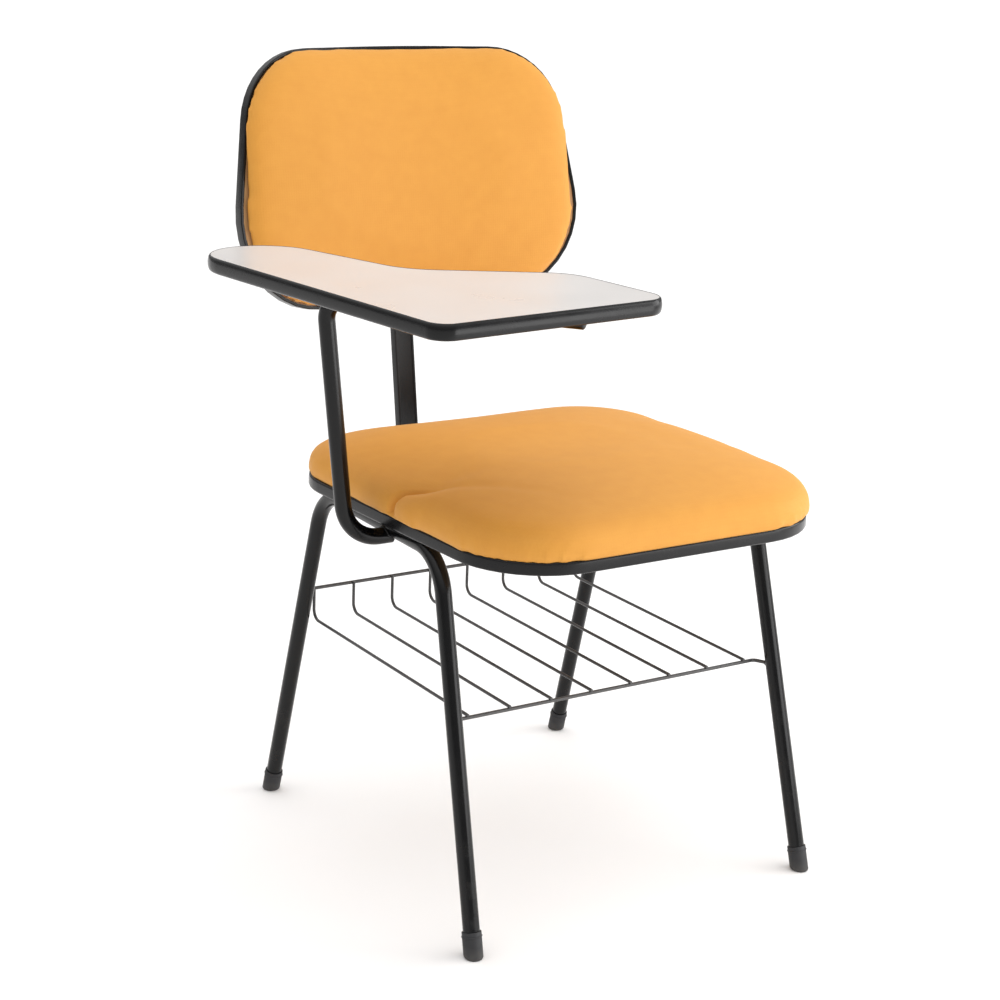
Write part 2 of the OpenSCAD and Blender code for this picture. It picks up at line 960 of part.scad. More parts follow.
module on_tablet() {
    translate([tablet_x, tablet_y, tablet_under])
        rotate([0, 0, tablet_turn])
            children();
}

module tablet_plate(grow, z, h) {
    translate([0, 0, z])
        linear_extrude(height = h)
            polygon(outline(tablet_rings, grow, 16));
}

module tablet_board() {
    color(ply)
        centred()
            difference() {
                on_tablet()
                    tablet_plate(-band_t, 0, tablet_t - laminate_t);
                at_strap_screws()
                    cylinder(h = screw_len, r = screw_r);
            }
}

module tablet_laminate() {
    color(cream)
        centred()
            on_tablet()
                tablet_plate(-band_t, tablet_t - laminate_t, laminate_t);
}

module tablet_edge_band() {
    color(black)
        centred()
            on_tablet()
                difference() {
                    tablet_plate(0, 0, tablet_t);
                    tablet_plate(-band_t, -tablet_t, 3 * tablet_t);
                }
}

// Book basket

module leg_solids(front) {
    on_leg(front)
        cylinder(h = 0.8 * front_leg, r = tube_r);
    mirrored()
        on_leg(front)
            cylinder(h = 0.8 * front_leg, r = tube_r);
}

// a cross bar whose ends turn to meet the legs
module cross_bar(front, y, z) {
    leg = leg_point(front, z);
    step = abs(leg[1] - y);
    tangent = bar_bend_r * tan(bar_turn / 2);
    end_run = step / sin(bar_turn) - tangent;
    middle_run = 2 * (-leg[0] - step / tan(bar_turn) - tangent);
    runs = [end_run, middle_run, end_run];
    difference() {
        translate([leg[0], leg[1], z])
            rotate([0, 0, bar_turn])
                rotate([0, 90, 0])
                    rotate([0, 0, -90])
                        bent_tube(runs, [bar_turn, bar_turn], [0, 0], bar_bend_r, bar_d / 2);
        leg_solids(front);
    }
}

module basket_front_bar() {
    color(black)
        centred()
            cross_bar(true, front_bar_y, bar_z);
}

module basket_rear_bar() {
    color(black)
        centred()
            cross_bar(false, rear_bar_y, rear_bar_z);
}

module wire() {
    floor_run = riser_y - wire_bend_r - front_bar_y + bar_d / 2;
    rise_run = basket_rise - wire_bend_r + bar_d / 2;
    translate([0, front_bar_y - bar_d / 2, basket_z])
        rotate([-90, 0, 0])
            rotate([0, 0, -90])
                bent_tube([floor_run, rise_run], [90], [0], wire_bend_r, wire_d / 2);
}

module bar_core(y, z) {
    translate([-rail_x, y, z])
        rotate([0, 90, 0])
            cylinder(h = 2 * rail_x, r = bar_d / 2);
}

module basket_wires() {
    color(black)
        centred()
            difference() {
                for (i = [0:wire_count - 1])
                    translate([wire_span * (2 * i / (wire_count - 1) - 1), 0, 0])
                        wire();
                bar_core(front_bar_y, bar_z);
                bar_core(rear_bar_y, rear_bar_z);
            }
}

side_frame_right();
side_frame_left();
front_cross_rail();
rear_cross_rail();
seat_mount_tabs();
foot_cap_front_right();
foot_cap_front_left();
foot_cap_rear_right();
foot_cap_rear_left();
seat_board();
seat_edge_trim();
seat_cushion();
seat_bolts();
seat_tee_nuts();
spine_bar();
spine_cover();
back_bracket();
back_bolts();
back_tee_nuts();
back_board();
back_edge_trim();
back_cushion();
tablet_arm();
arm_end_plug();
tablet_straps();
tablet_screws();
tablet_board();
tablet_laminate();
tablet_edge_band();
basket_front_bar();
basket_rear_bar();
basket_wires();
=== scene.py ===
# %% [markdown]
# # Tablet arm chair
# A lecture room chair: two bent tube frames, a padded seat and back, and a writing tablet on a tube arm. The
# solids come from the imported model, and this lesson dresses them with round edges, welds, fabric and paint.
# Everything is in metres and in the model's own frame, so no piece has to be fitted by eye.

# %% Load the frame
import math

import bmesh
import bpy
import numpy as np
from mathutils import Matrix, Vector, noise
from mathutils.bvhtree import BVHTree


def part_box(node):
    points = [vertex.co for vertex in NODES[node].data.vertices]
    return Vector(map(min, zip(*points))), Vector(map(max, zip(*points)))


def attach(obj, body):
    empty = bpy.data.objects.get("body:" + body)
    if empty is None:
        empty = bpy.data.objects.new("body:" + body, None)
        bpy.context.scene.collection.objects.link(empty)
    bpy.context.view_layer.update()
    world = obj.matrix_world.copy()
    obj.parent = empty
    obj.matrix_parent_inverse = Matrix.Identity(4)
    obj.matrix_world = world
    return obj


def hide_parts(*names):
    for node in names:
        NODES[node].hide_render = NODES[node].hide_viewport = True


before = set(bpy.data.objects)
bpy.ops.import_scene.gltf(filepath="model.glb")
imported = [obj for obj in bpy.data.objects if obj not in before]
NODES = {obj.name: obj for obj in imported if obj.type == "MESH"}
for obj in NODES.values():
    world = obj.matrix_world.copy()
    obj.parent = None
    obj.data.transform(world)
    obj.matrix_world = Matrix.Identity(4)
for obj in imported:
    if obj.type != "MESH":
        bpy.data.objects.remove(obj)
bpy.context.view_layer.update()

# %% [markdown]
# ## Measures
# The drawing of the chair has its own zero, in the middle of the rails. The seat board tells where that zero
# is in the model's frame, so sizes from the drawing can be placed with a few helpers. Named sizes are in
# millimetres and angles in degrees, and what is in metres is multiplied by MM or says so.

# %% The drawing's zero
MM = 0.001
SEAT_MID_Y = -28
seat_low, seat_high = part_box("seat_board")
ZERO = Vector(((seat_low.x + seat_high.x) / 2, (seat_low.y + seat_high.y) / 2 - SEAT_MID_Y * MM, 0))
DRAWING = Matrix.Translation(ZERO)


def spot(x, y, z):
    """A point of the drawing, in millimetres, as a point of the model in metres."""
    return ZERO + Vector((x, y, z)) * MM


def shift(x, y, z):
    return Matrix.Translation(Vector((x, y, z)) * MM)


def turn(degrees, axis):
    return Matrix.Rotation(math.radians(degrees), 4, axis)


def sized(x, y, z):
    """Stretches a shape of one metre to a size in millimetres."""
    return Matrix.Diagonal((x * MM, y * MM, z * MM, 1))


print("the drawing's zero is at", [round(c, 4) for c in ZERO])

# %% [markdown]
# ## Camera
# The photograph looks down at the chair from its front and from the sitter's right. The feet, the tablet's
# edge and the backrest gave the camera's place, turn and lens, and the same numbers are used here.

# %% The camera
# the angles are in radians
AZIMUTH, ELEVATION, ROLL = math.radians(-33.2877), math.radians(16.0939), math.radians(2.2621)
DISTANCE, FOCAL, SENSOR = 2430.2, 77.72, 36
AIM = spot(-42.9, 28.2, 406.7)

sideways = math.cos(ELEVATION)
backward = Vector((math.sin(AZIMUTH) * sideways, -math.cos(AZIMUTH) * sideways, math.sin(ELEVATION)))
level = Vector((math.cos(AZIMUTH), math.sin(AZIMUTH), 0))
upward = backward.cross(level)
camera_x = level * math.cos(ROLL) + upward * math.sin(ROLL)
camera_y = upward * math.cos(ROLL) - level * math.sin(ROLL)
lens = bpy.data.cameras.new("photo_camera")
lens.lens = FOCAL
lens.sensor_width = SENSOR
camera = bpy.data.objects.new("photo_camera", lens)
bpy.context.scene.collection.objects.link(camera)
axes = Matrix((camera_x, camera_y, backward)).transposed().to_4x4()
camera.matrix_world = Matrix.Translation(AIM + backward * DISTANCE * MM) @ axes
bpy.context.scene.camera = camera
print("camera at", [round(c, 3) for c in camera.matrix_world.translation])

# %% [markdown]
# ## Nodes and colours
# A finish is a small net of shader nodes. One helper adds a node with its settings and links, and one turns
# the hex colours that a paint chart gives into the linear values that Blender works in. A pattern's Scale is
# how many of its patches fit in a metre, so it is worked out from the size of one patch in millimetres.

# %% Helpers for finishes
COLOUR_A, COLOUR_B, COLOUR_OUT = 6, 7, 2  # a Mix node's sockets for colours


def linear(hex_colour):
    parts = [int(hex_colour[i:i + 2], 16) / 255 for i in (0, 2, 4)]
    return [c / 12.92 if c <= 0.04045 else ((c + 0.055) / 1.055) ** 2.4 for c in parts] + [1]


def per_metre(patch):
    return 1 / (patch * MM)


def add(tree, kind, inputs=None, **settings):
    """Adds a node; an input is a value, or the output socket of another node."""
    made = tree.nodes.new(kind)
    for key, value in settings.items():
        setattr(made, key, value)
    for key, value in (inputs or {}).items():
        if isinstance(value, bpy.types.NodeSocket):
            tree.links.new(value, made.inputs[key])
        else:
            made.inputs[key].default_value = value
    return made


def new_finish(name, sockets=None):
    """A material with one Principled shader, whose steady values are set on its own sockets."""
    finish = bpy.data.materials.new(name)
    finish.use_nodes = True
    shader = finish.node_tree.nodes["Principled BSDF"]
    for key, value in (sockets or {}).items():
        shader.inputs[key].default_value = value
    place = add(finish.node_tree, "ShaderNodeTexCoord").outputs["Object"]
    return finish, finish.node_tree, shader, place


def lead_in(finish, shader, colour, rough, relief=None):
    """Joins a finish's colour, its roughness and, where it has one, its relief to the shader."""
    links = finish.node_tree.links
    links.new(colour, shader.inputs["Base Color"])
    links.new(rough, shader.inputs["Roughness"])
    if relief:
        links.new(relief.outputs["Normal"], shader.inputs["Normal"])
    print("made", finish.name)


print("helpers ready")

# %% [markdown]
# ## Black paint
# The tubes are steel with an oven-cured gloss black paint. It flows to a skin like fine orange peel, with
# dimples about two millimetres across. Dust and rubbing shoes leave the lower legs a little duller.

# %% Gloss black paint on steel
PEEL, DUST, SCUFFED_BELOW = 2.1, 24, 220
paint, tree, shader, place = new_finish("black_painted_steel", {"Specular IOR Level": 0.3})
dust = add(tree, "ShaderNodeTexNoise",
           {"Vector": place, "Scale": per_metre(DUST), "Detail": 5, "Roughness": 0.65}).outputs["Fac"]
peel = add(tree, "ShaderNodeTexNoise", {"Vector": place, "Scale": per_metre(PEEL)})
height = add(tree, "ShaderNodeSeparateXYZ", {"Vector": place}).outputs["Z"]
low_down = add(tree, "ShaderNodeMapRange",
               {"Value": height, "From Min": SCUFFED_BELOW * MM, "From Max": 0, "To Max": 0.35})
scuffs = add(tree, "ShaderNodeMapRange", {"Value": dust, "From Min": 0.52, "From Max": 0.72})
worn = add(tree, "ShaderNodeMath", {0: low_down.outputs["Result"], 1: scuffs.outputs["Result"]},
           operation="MULTIPLY").outputs["Value"]
tone = add(tree, "ShaderNodeMix", {"Factor": worn, COLOUR_A: linear("070708"), COLOUR_B: linear("2f2d2a")},
           data_type="RGBA")
gloss = add(tree, "ShaderNodeMapRange",
            {"Value": dust, "From Min": 0.3, "From Max": 0.7, "To Min": 0.18, "To Max": 0.26})
dull = add(tree, "ShaderNodeMath", {0: worn, 1: 0.5, 2: gloss.outputs["Result"]}, operation="MULTIPLY_ADD")
skin = add(tree, "ShaderNodeBump", {"Height": peel.outputs["Fac"], "Strength": 0.06, "Distance": 0.4 * MM})
lead_in(paint, shader, tone.outputs[COLOUR_OUT], dull.outputs["Value"], skin)

# %% [markdown]
# ## Painted wire
# The basket's wires carry the same black paint. Thin wire catches the white room all round, so they look dark
# grey rather than black, and their base colour is drawn dark grey: a painted reflection of the room.

# %% Painted wire
DRAWN_MARK = 3.8
wire_paint, tree, shader, place = new_finish("drawn_wire_painted_reflection")
marks = add(tree, "ShaderNodeTexNoise",
            {"Vector": place, "Scale": per_metre(DRAWN_MARK), "Detail": 3}).outputs["Fac"]
# dark grey base colour in place of the paint's black: painted reflection of the white room on thin wire
tone = add(tree, "ShaderNodeMix", {"Factor": marks, COLOUR_A: linear("383839"), COLOUR_B: linear("515050")},
           data_type="RGBA")
gloss = add(tree, "ShaderNodeMapRange", {"Value": marks, "To Min": 0.22, "To Max": 0.38})
skin = add(tree, "ShaderNodeBump", {"Height": marks, "Strength": 0.08, "Distance": 0.3 * MM})
lead_in(wire_paint, shader, tone.outputs[COLOUR_OUT], gloss.outputs["Result"], skin)

# %% [markdown]
# ## Black plastics
# The edge trim and the tablet's band are extruded soft vinyl: an even sheen with a fine grain and faint
# smears. The spine's cover is moulded with a leather grain, and the feet are rubber, greyer and dusty near
# the floor.

# %% Extruded vinyl
SMEAR, VINYL_GRAIN = 33, 1.1
vinyl, tree, shader, place = new_finish("extruded_black_vinyl", {"Specular IOR Level": 0.25})
smears = add(tree, "ShaderNodeTexNoise",
             {"Vector": place, "Scale": per_metre(SMEAR), "Detail": 4}).outputs["Fac"]
grain = add(tree, "ShaderNodeTexNoise", {"Vector": place, "Scale": per_metre(VINYL_GRAIN)})
tone = add(tree, "ShaderNodeMix", {"Factor": smears, COLOUR_A: linear("0e0e0f"), COLOUR_B: linear("161617")},
           data_type="RGBA")
gloss = add(tree, "ShaderNodeMapRange",
            {"Value": smears, "From Min": 0.3, "From Max": 0.7, "To Min": 0.2, "To Max": 0.3})
skin = add(tree, "ShaderNodeBump", {"Height": grain.outputs["Fac"], "Strength": 0.08, "Distance": 0.3 * MM})
lead_in(vinyl, shader, tone.outputs[COLOUR_OUT], gloss.outputs["Result"], skin)

# %% Moulded cover plastic
LEATHER, CLOUD = 1.6, 40
moulded, tree, shader, place = new_finish("moulded_black_plastic", {"Specular IOR Level": 0.25})
leather = add(tree, "ShaderNodeTexVoronoi", {"Vector": place, "Scale": per_metre(LEATHER)})
cloud = add(tree, "ShaderNodeTexNoise",
            {"Vector": place, "Scale": per_metre(CLOUD), "Detail": 3}).outputs["Fac"]
tone = add(tree, "ShaderNodeMix", {"Factor": cloud, COLOUR_A: linear("0e0e0f"), COLOUR_B: linear("181819")},
           data_type="RGBA")
gloss = add(tree, "ShaderNodeMapRange", {"Value": cloud, "To Min": 0.34, "To Max": 0.5})
skin = add(tree, "ShaderNodeBump",
           {"Height": leather.outputs["Distance"], "Strength": 0.18, "Distance": 0.4 * MM})
lead_in(moulded, shader, tone.outputs[COLOUR_OUT], gloss.outputs["Result"], skin)

# %% Foot rubber
FLOOR_DUST, DUSTY_BELOW = 7, 14
rubber, tree, shader, place = new_finish("moulded_rubber", {"Specular IOR Level": 0.4})
dust = add(tree, "ShaderNodeTexNoise",
           {"Vector": place, "Scale": per_metre(FLOOR_DUST), "Detail": 5}).outputs["Fac"]
height = add(tree, "ShaderNodeSeparateXYZ", {"Vector": place}).outputs["Z"]
near_floor = add(tree, "ShaderNodeMapRange",
                 {"Value": height, "From Min": DUSTY_BELOW * MM, "From Max": 0, "To Max": 0.8})
dusty = add(tree, "ShaderNodeMath", {0: near_floor.outputs["Result"], 1: dust}, operation="MULTIPLY")
tone = add(tree, "ShaderNodeMix",
           {"Factor": dusty.outputs["Value"], COLOUR_A: linear("2b2b2d"), COLOUR_B: linear("5d5a55")},
           data_type="RGBA")
gloss = add(tree, "ShaderNodeMapRange", {"Value": dust, "To Min": 0.42, "To Max": 0.68})
skin = add(tree, "ShaderNodeBump", {"Height": dust, "Strength": 0.15, "Distance": 0.4 * MM})
lead_in(rubber, shader, tone.outputs[COLOUR_OUT], gloss.outputs["Result"], skin)

# %% [markdown]
# ## Upholstery
# The cover is a plain weave of orange yellow polyester, drawn tight over foam. Its real threads are about
# 0.7 mm apart, too fine for this picture, so the weave is drawn at 3.1 mm. Three sets of waves are added
# together, so that the grid runs on over the crown and down the sides. A Wave Texture repeats every 0.314 m
# over its scale.

# %% Plain weave fabric
THREADS, FUZZ, MOTTLE, WAVE_REPEAT = 3.1, 1.54, 18.2, 0.314
fabric, tree, shader, place = new_finish("plain_weave_polyester", {
    "Sheen Weight": 0.18, "Sheen Roughness": 0.4, "Sheen Tint": linear("ffe0ac"), "Specular IOR Level": 0.35})
wave = {"Vector": place, "Scale": WAVE_REPEAT / (THREADS * MM), "Distortion": 2.4, "Detail Scale": 2}
warp, weft, rise = [
    add(tree, "ShaderNodeTexWave", wave, bands_direction=way).outputs["Fac"] for way in ("X", "Y", "Z")]
pair = add(tree, "ShaderNodeMath", {0: warp, 1: weft}, operation="ADD")
weave = add(tree, "ShaderNodeMath", {0: pair.outputs["Value"], 1: rise}, operation="ADD").outputs["Value"]
fuzz = add(tree, "ShaderNodeTexNoise",
           {"Vector": place, "Scale": per_metre(FUZZ), "Detail": 3, "Roughness": 0.7}).outputs["Fac"]
mottle = add(tree, "ShaderNodeTexNoise", {"Vector": place, "Scale": per_metre(MOTTLE), "Detail": 4})
thread_tone = add(tree, "ShaderNodeMapRange",
                  {"Value": weave, "From Min": 0.4, "From Max": 2.4, "To Min": 0.28, "To Max": 0.4})
mixed = add(tree, "ShaderNodeMath", {0: fuzz, 1: 0.45, 2: thread_tone.outputs["Result"]},
            operation="MULTIPLY_ADD")
tone = add(tree, "ShaderNodeMix",
           {"Factor": mixed.outputs["Value"], COLOUR_A: linear("d69338"), COLOUR_B: linear("dfa043")},
           data_type="RGBA")
patchy = add(tree, "ShaderNodeMix",
             {"Factor": mottle.outputs["Fac"], COLOUR_A: linear("f6f0ea"), COLOUR_B: linear("ffffff")},
             data_type="RGBA")
cloth_tone = add(tree, "ShaderNodeMix",
                 {"Factor": 1, COLOUR_A: tone.outputs[COLOUR_OUT], COLOUR_B: patchy.outputs[COLOUR_OUT]},
                 data_type="RGBA", blend_type="MULTIPLY")
relief = add(tree, "ShaderNodeMath", {0: fuzz, 1: 0.6, 2: weave}, operation="MULTIPLY_ADD")
skin = add(tree, "ShaderNodeBump",
           {"Height": relief.outputs["Value"], "Strength": 0.07, "Distance": 0.5 * MM})
rough = add(tree, "ShaderNodeMapRange", {"Value": fuzz, "To Min": 0.55, "To Max": 0.7})
lead_in(fabric, shader, cloth_tone.outputs[COLOUR_OUT], rough.outputs["Result"], skin)

# %% [markdown]
# ## Laminate
# The writing surface is cream high pressure laminate, pressed against a fine textured plate. It is hard and
# evenly glossy, with tiny pebbles, and it mirrors the light softly.

# %% Cream laminate
PEBBLE, WIPED = 1.33, 111
laminate, tree, shader, place = new_finish("cream_pressed_laminate")
pebbles = add(tree, "ShaderNodeTexNoise", {"Vector": place, "Scale": per_metre(PEBBLE)})
wiped = add(tree, "ShaderNodeTexNoise",
            {"Vector": place, "Scale": per_metre(WIPED), "Detail": 5}).outputs["Fac"]
tone = add(tree, "ShaderNodeMix", {"Factor": wiped, COLOUR_A: linear("d3cfcc"), COLOUR_B: linear("dad6d3")},
           data_type="RGBA")
gloss = add(tree, "ShaderNodeMapRange",
            {"Value": wiped, "From Min": 0.3, "From Max": 0.7, "To Min": 0.26, "To Max": 0.34})
skin = add(tree, "ShaderNodeBump", {"Height": pebbles.outputs["Fac"], "Strength": 0.02, "Distance": 0.3 * MM})
lead_in(laminate, shader, tone.outputs[COLOUR_OUT], gloss.outputs["Result"], skin)

# %% [markdown]
# ## Boards
# The seat and back boards are moulded plywood with a lacquered face veneer, whose grain lines run up the
# backrest and back along the seat. The tablet's core is medium density fibreboard, brown and even, with fine
# flecks.

# %% Plywood
FIGURE, PORE, ALONG_GRAIN = 16.7, 1.11, 0.09
plywood, tree, shader, place = new_finish("lacquered_plywood", {"Coat Weight": 0.15, "Coat Roughness": 0.3})
drawn_out = add(tree, "ShaderNodeMapping",
                {"Vector": place, "Scale": (1, ALONG_GRAIN, ALONG_GRAIN)}).outputs["Vector"]
figure = add(tree, "ShaderNodeTexNoise",
             {"Vector": drawn_out, "Scale": per_metre(FIGURE), "Detail": 6, "Roughness": 0.6})
pores = add(tree, "ShaderNodeTexNoise", {"Vector": drawn_out, "Scale": per_metre(PORE)}).outputs["Fac"]
tone = add(tree, "ShaderNodeValToRGB", {"Fac": figure.outputs["Fac"]})
for stop, (position, colour) in zip(tone.color_ramp.elements, ((0.32, "a97c4c"), (0.68, "cda878"))):
    stop.position = position
    stop.color = linear(colour)
flecks = add(tree, "ShaderNodeMapRange", {"Value": pores, "From Min": 0.5, "From Max": 0.8, "To Max": 0.5})
flecked = add(tree, "ShaderNodeMix", {
    "Factor": flecks.outputs["Result"], COLOUR_A: tone.outputs["Color"], COLOUR_B: linear("8f673e")},
    data_type="RGBA")
rough = add(tree, "ShaderNodeMapRange", {"Value": pores, "To Min": 0.4, "To Max": 0.6})
skin = add(tree, "ShaderNodeBump", {"Height": pores, "Strength": 0.12, "Distance": 0.3 * MM})
lead_in(plywood, shader, flecked.outputs[COLOUR_OUT], rough.outputs["Result"], skin)

# %% Fibreboard
FIBRE = 1.9
fibreboard, tree, shader, place = new_finish("raw_fibreboard", {"Specular IOR Level": 0.3})
fibres = add(tree, "ShaderNodeTexNoise",
             {"Vector": place, "Scale": per_metre(FIBRE), "Detail": 5, "Roughness": 0.7}).outputs["Fac"]
tone = add(tree, "ShaderNodeMix", {"Factor": fibres, COLOUR_A: linear("7c5c3e"), COLOUR_B: linear("a48260")},
           data_type="RGBA")
rough = add(tree, "ShaderNodeMapRange", {"Value": fibres, "To Min": 0.65, "To Max": 0.85})
skin = add(tree, "ShaderNodeBump", {"Height": fibres, "Strength": 0.15, "Distance": 0.3 * MM})
lead_in(fibreboard, shader, tone.outputs[COLOUR_OUT], rough.outputs["Result"], skin)

# %% [markdown]
# ## Fasteners
# Bolts, screws and tee nuts are steel with a bright zinc plating, a little cloudy from handling.

# %% Zinc plated steel
HANDLED = 2.4
zinc, tree, shader, place = new_finish("zinc_plated_steel", {"Metallic": 1})
cloudy = add(tree, "ShaderNodeTexNoise",
             {"Vector": place, "Scale": per_metre(HANDLED), "Detail": 4}).outputs["Fac"]
tone = add(tree, "ShaderNodeMix", {"Factor": cloudy, COLOUR_A: linear("a7aaad"), COLOUR_B: linear("cfd0cf")},
           data_type="RGBA")
gloss = add(tree, "ShaderNodeMapRange", {"Value": cloudy, "To Min": 0.22, "To Max": 0.42})
lead_in(zinc, shader, tone.outputs[COLOUR_OUT], gloss.outputs["Result"])

# %% [markdown]
# ## Boards and hidden nuts stay as they are
# The boards, the laminate sheet and the tee nuts have their true shape already, so they only get a finish.

# %% Finish the nodes that stay
STAYING = {
    "seat_board": plywood, "back_board": plywood, "tablet_board": fibreboard, "tablet_laminate": laminate,
    "seat_tee_nuts": zinc, "back_tee_nuts": zinc,
}
for name, finish in STAYING.items():
    slots = NODES[name].data.materials
    slots.clear()
    slots.append(finish)
print("finished", sorted(STAYING))

# %% [markdown]
# ## Making a piece
# Each new piece is made in a bmesh and then becomes an object at the origin that rides on the chair. Its
# normals are turned outward, its faces are shaded smoothly, and edges steeper than 35 degrees stay crisp.

# %% Helpers for pieces
CRISP, STEEP, FLAT = math.radians(35), math.radians(50), math.radians(0.2)  # in radians


def keep_piece(name, bm, finish, slot, *stands_for):
    """Makes a named piece of a bmesh, which rides on the chair in place of the nodes it stands for."""
    bmesh.ops.recalc_face_normals(bm, faces=bm.faces)
    mesh = bpy.data.meshes.new(name)
    bm.to_mesh(mesh)
    bm.free()
    mesh.shade_smooth()
    mesh.set_sharp_from_angle(angle=CRISP)
    mesh.materials.append(finish)
    piece = bpy.data.objects.new(name, mesh)
    bpy.context.scene.collection.objects.link(piece)
    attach(piece, "root")
    if stands_for:
        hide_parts(*stands_for)
    print(name, "has", len(mesh.polygons), "faces")


def solid_of(node):
    """A copy of a node with its loose triangles joined into whole faces."""
    bm = bmesh.new()
    bm.from_mesh(NODES[node].data)
    for face in bm.faces:
        face.material_index = 0
    bmesh.ops.remove_doubles(bm, verts=bm.verts, dist=0.005 * MM)
    bmesh.ops.dissolve_limit(bm, angle_limit=FLAT, verts=bm.verts, edges=bm.edges)
    return bm


def soften(bm, width, segments=3, chosen=None):
    """Rounds the edges that are steeper than 50 degrees, or those of them that are chosen."""
    steep = [e for e in bm.edges if e.is_manifold and e.calc_face_angle() > STEEP]
    edges = [e for e in steep if chosen is None or chosen(e)]
    bmesh.ops.bevel(bm, geom=edges, offset=width * MM, offset_type="OFFSET", affect="EDGES", segments=segments,
                    profile=0.5, clamp_overlap=True, material=-1)
    return bm


print("piece helpers ready")

# %% [markdown]
# ## Bent tube
# A bender pushes a straight tube round a wheel. The same steps work here: a ring of points is extruded along
# each straight run and spun round the centre of each bend. Every round tube and wire is made this way.

# %% A bent tube


def bent_tube(bm, start, runs, turns, rolls, bends, radius, sides=36, steps=14):
    """Draws a tube through its straight runs and returns the place of its end.

    Before each bend the tube rolls about itself, and then it turns by an angle round a wheel of a radius."""
    at = start.copy()
    ring = bmesh.ops.create_circle(bm, cap_ends=True, radius=radius * MM, segments=sides, matrix=at)["verts"]
    edges = list({e for v in ring for e in v.link_edges})
    for i, run in enumerate(runs):
        made = bmesh.ops.extrude_edge_only(bm, edges=edges)["geom"]
        ring = [g for g in made if isinstance(g, bmesh.types.BMVert)]
        edges = [e for e in {e for v in ring for e in v.link_edges} if all(v in ring for v in e.verts)]
        bmesh.ops.translate(bm, verts=ring, vec=at.to_3x3() @ Vector((0, 0, run * MM)))
        at = at @ shift(0, 0, run)
        if i < len(turns):
            at = at @ turn(rolls[i], "Z")
            centre = at @ Vector((bends[i] * MM, 0, 0))
            axis = at.to_3x3() @ Vector((0, 1, 0))
            made = bmesh.ops.spin(
                bm, geom=edges, cent=centre, axis=axis, angle=math.radians(turns[i]), steps=steps)["geom_last"]
            edges = [g for g in made if isinstance(g, bmesh.types.BMEdge)]
            at = at @ shift(bends[i], 0, 0) @ turn(turns[i], "Y") @ shift(-bends[i], 0, 0)
    bmesh.ops.contextual_create(bm, geom=edges)
    return at


print("bent tube ready")

# %% [markdown]
# ## Side frames
# Each side of the chair is one tube: up the front leg, back along the rail under the seat, and down the rear
# leg. The frames lean outward a little and turn in towards the back. The left one mirrors the right one.

# %% Side frames
TUBE_R, RAIL_X, RAIL_Z = 9, 205, 406
FRONT_CORNER, REAR_CORNER, FRONT_RAKE, REAR_RAKE = -114, 149, 15.5, 15
LEAN, TOE_IN, LEG_BEND, CAP_FLOOR = 1.5, 1.2, 55, 6


def sine(degrees):
    return math.sin(math.radians(degrees))


def cosine(degrees):
    return math.cos(math.radians(degrees))


def tangent(degrees):
    return math.tan(math.radians(degrees))


ON_FRAME = DRAWING @ shift(-RAIL_X, 0, RAIL_Z) @ turn(-TOE_IN, "Z") @ turn(LEAN, "Y")
FRONT_LEG = RAIL_Z / cosine(LEAN) / cosine(FRONT_RAKE)
REAR_LEG = RAIL_Z / cosine(LEAN) / cosine(REAR_RAKE)
front_bend = LEG_BEND * tangent((90 - FRONT_RAKE) / 2)
rear_bend = LEG_BEND * tangent((90 - REAR_RAKE) / 2)
MIRROR = DRAWING @ Matrix.Scale(-1, 4, (1, 0, 0)) @ DRAWING.inverted()


def side_frame():
    bm = bmesh.new()
    corner = ON_FRAME @ shift(0, FRONT_CORNER, 0) @ turn(-FRONT_RAKE, "X")
    start = corner @ shift(0, 0, CAP_FLOOR - FRONT_LEG) @ turn(90, "Z")
    rail_run = REAR_CORNER - FRONT_CORNER - front_bend - rear_bend
    runs = [FRONT_LEG - front_bend - CAP_FLOOR, rail_run, REAR_LEG - rear_bend - CAP_FLOOR]
    end = bent_tube(bm, start, runs, [90 - FRONT_RAKE, 90 - REAR_RAKE], [0, 0], [LEG_BEND] * 2, TUBE_R,
                    sides=44, steps=18)
    print("the frame's tube ends at", [round(c, 4) for c in end.translation])
    return bm


keep_piece("frame_tube_right", side_frame(), paint, "frame_paint", "side_frame_right")
left = side_frame()
bmesh.ops.transform(left, matrix=MIRROR, verts=left.verts)
keep_piece("frame_tube_left", left, paint, "frame_paint", "side_frame_left")

# %% [markdown]
# ## Tablet arm
# The arm leaves the right rail sideways, turns up beside the seat and turns forward and inward under the
# tablet. The photograph shows the upright almost straight to the tablet, so the upper bend is drawn tighter
# here than in the solid. The open end is closed by a small domed plug of black plastic.

# %% The arm's tube and its plug
TABLET_LOW, TABLET_TOP = 674, 690
ARM_X, ARM_Y, ARM_LEAN, ARM_TURN, ARM_RUN, ARM_BENDS = -275, -8, 6.5, 51, 275, [45, 26]
ARM_DROP, PLUG_RISE = 8, 3
ARM_LOW_Z, ARM_TOP_Z = RAIL_Z - ARM_DROP, TABLET_LOW - TUBE_R
arm_mid_z = (ARM_LOW_Z + ARM_TOP_Z) / 2
arm_low_x = ARM_X + (arm_mid_z - ARM_LOW_Z) * tangent(ARM_LEAN)
arm_high_x = ARM_X - (ARM_TOP_Z - arm_mid_z) * tangent(ARM_LEAN)
low_turn = 90 - ARM_LEAN
high_turn = math.degrees(math.acos(-sine(ARM_LEAN) * cosine(ARM_TURN)))
low_bend, high_bend = ARM_BENDS[0] * tangent(low_turn / 2), ARM_BENDS[1] * tangent(high_turn / 2)
upright = (ARM_TOP_Z - ARM_LOW_Z) / cosine(ARM_LEAN) - low_bend - high_bend
roll = math.degrees(math.atan2(sine(ARM_TURN), cosine(ARM_TURN) * cosine(ARM_LEAN)))
arm = bmesh.new()
arm_start = DRAWING @ shift(-RAIL_X, ARM_Y, ARM_LOW_Z) @ turn(-90, "Y")
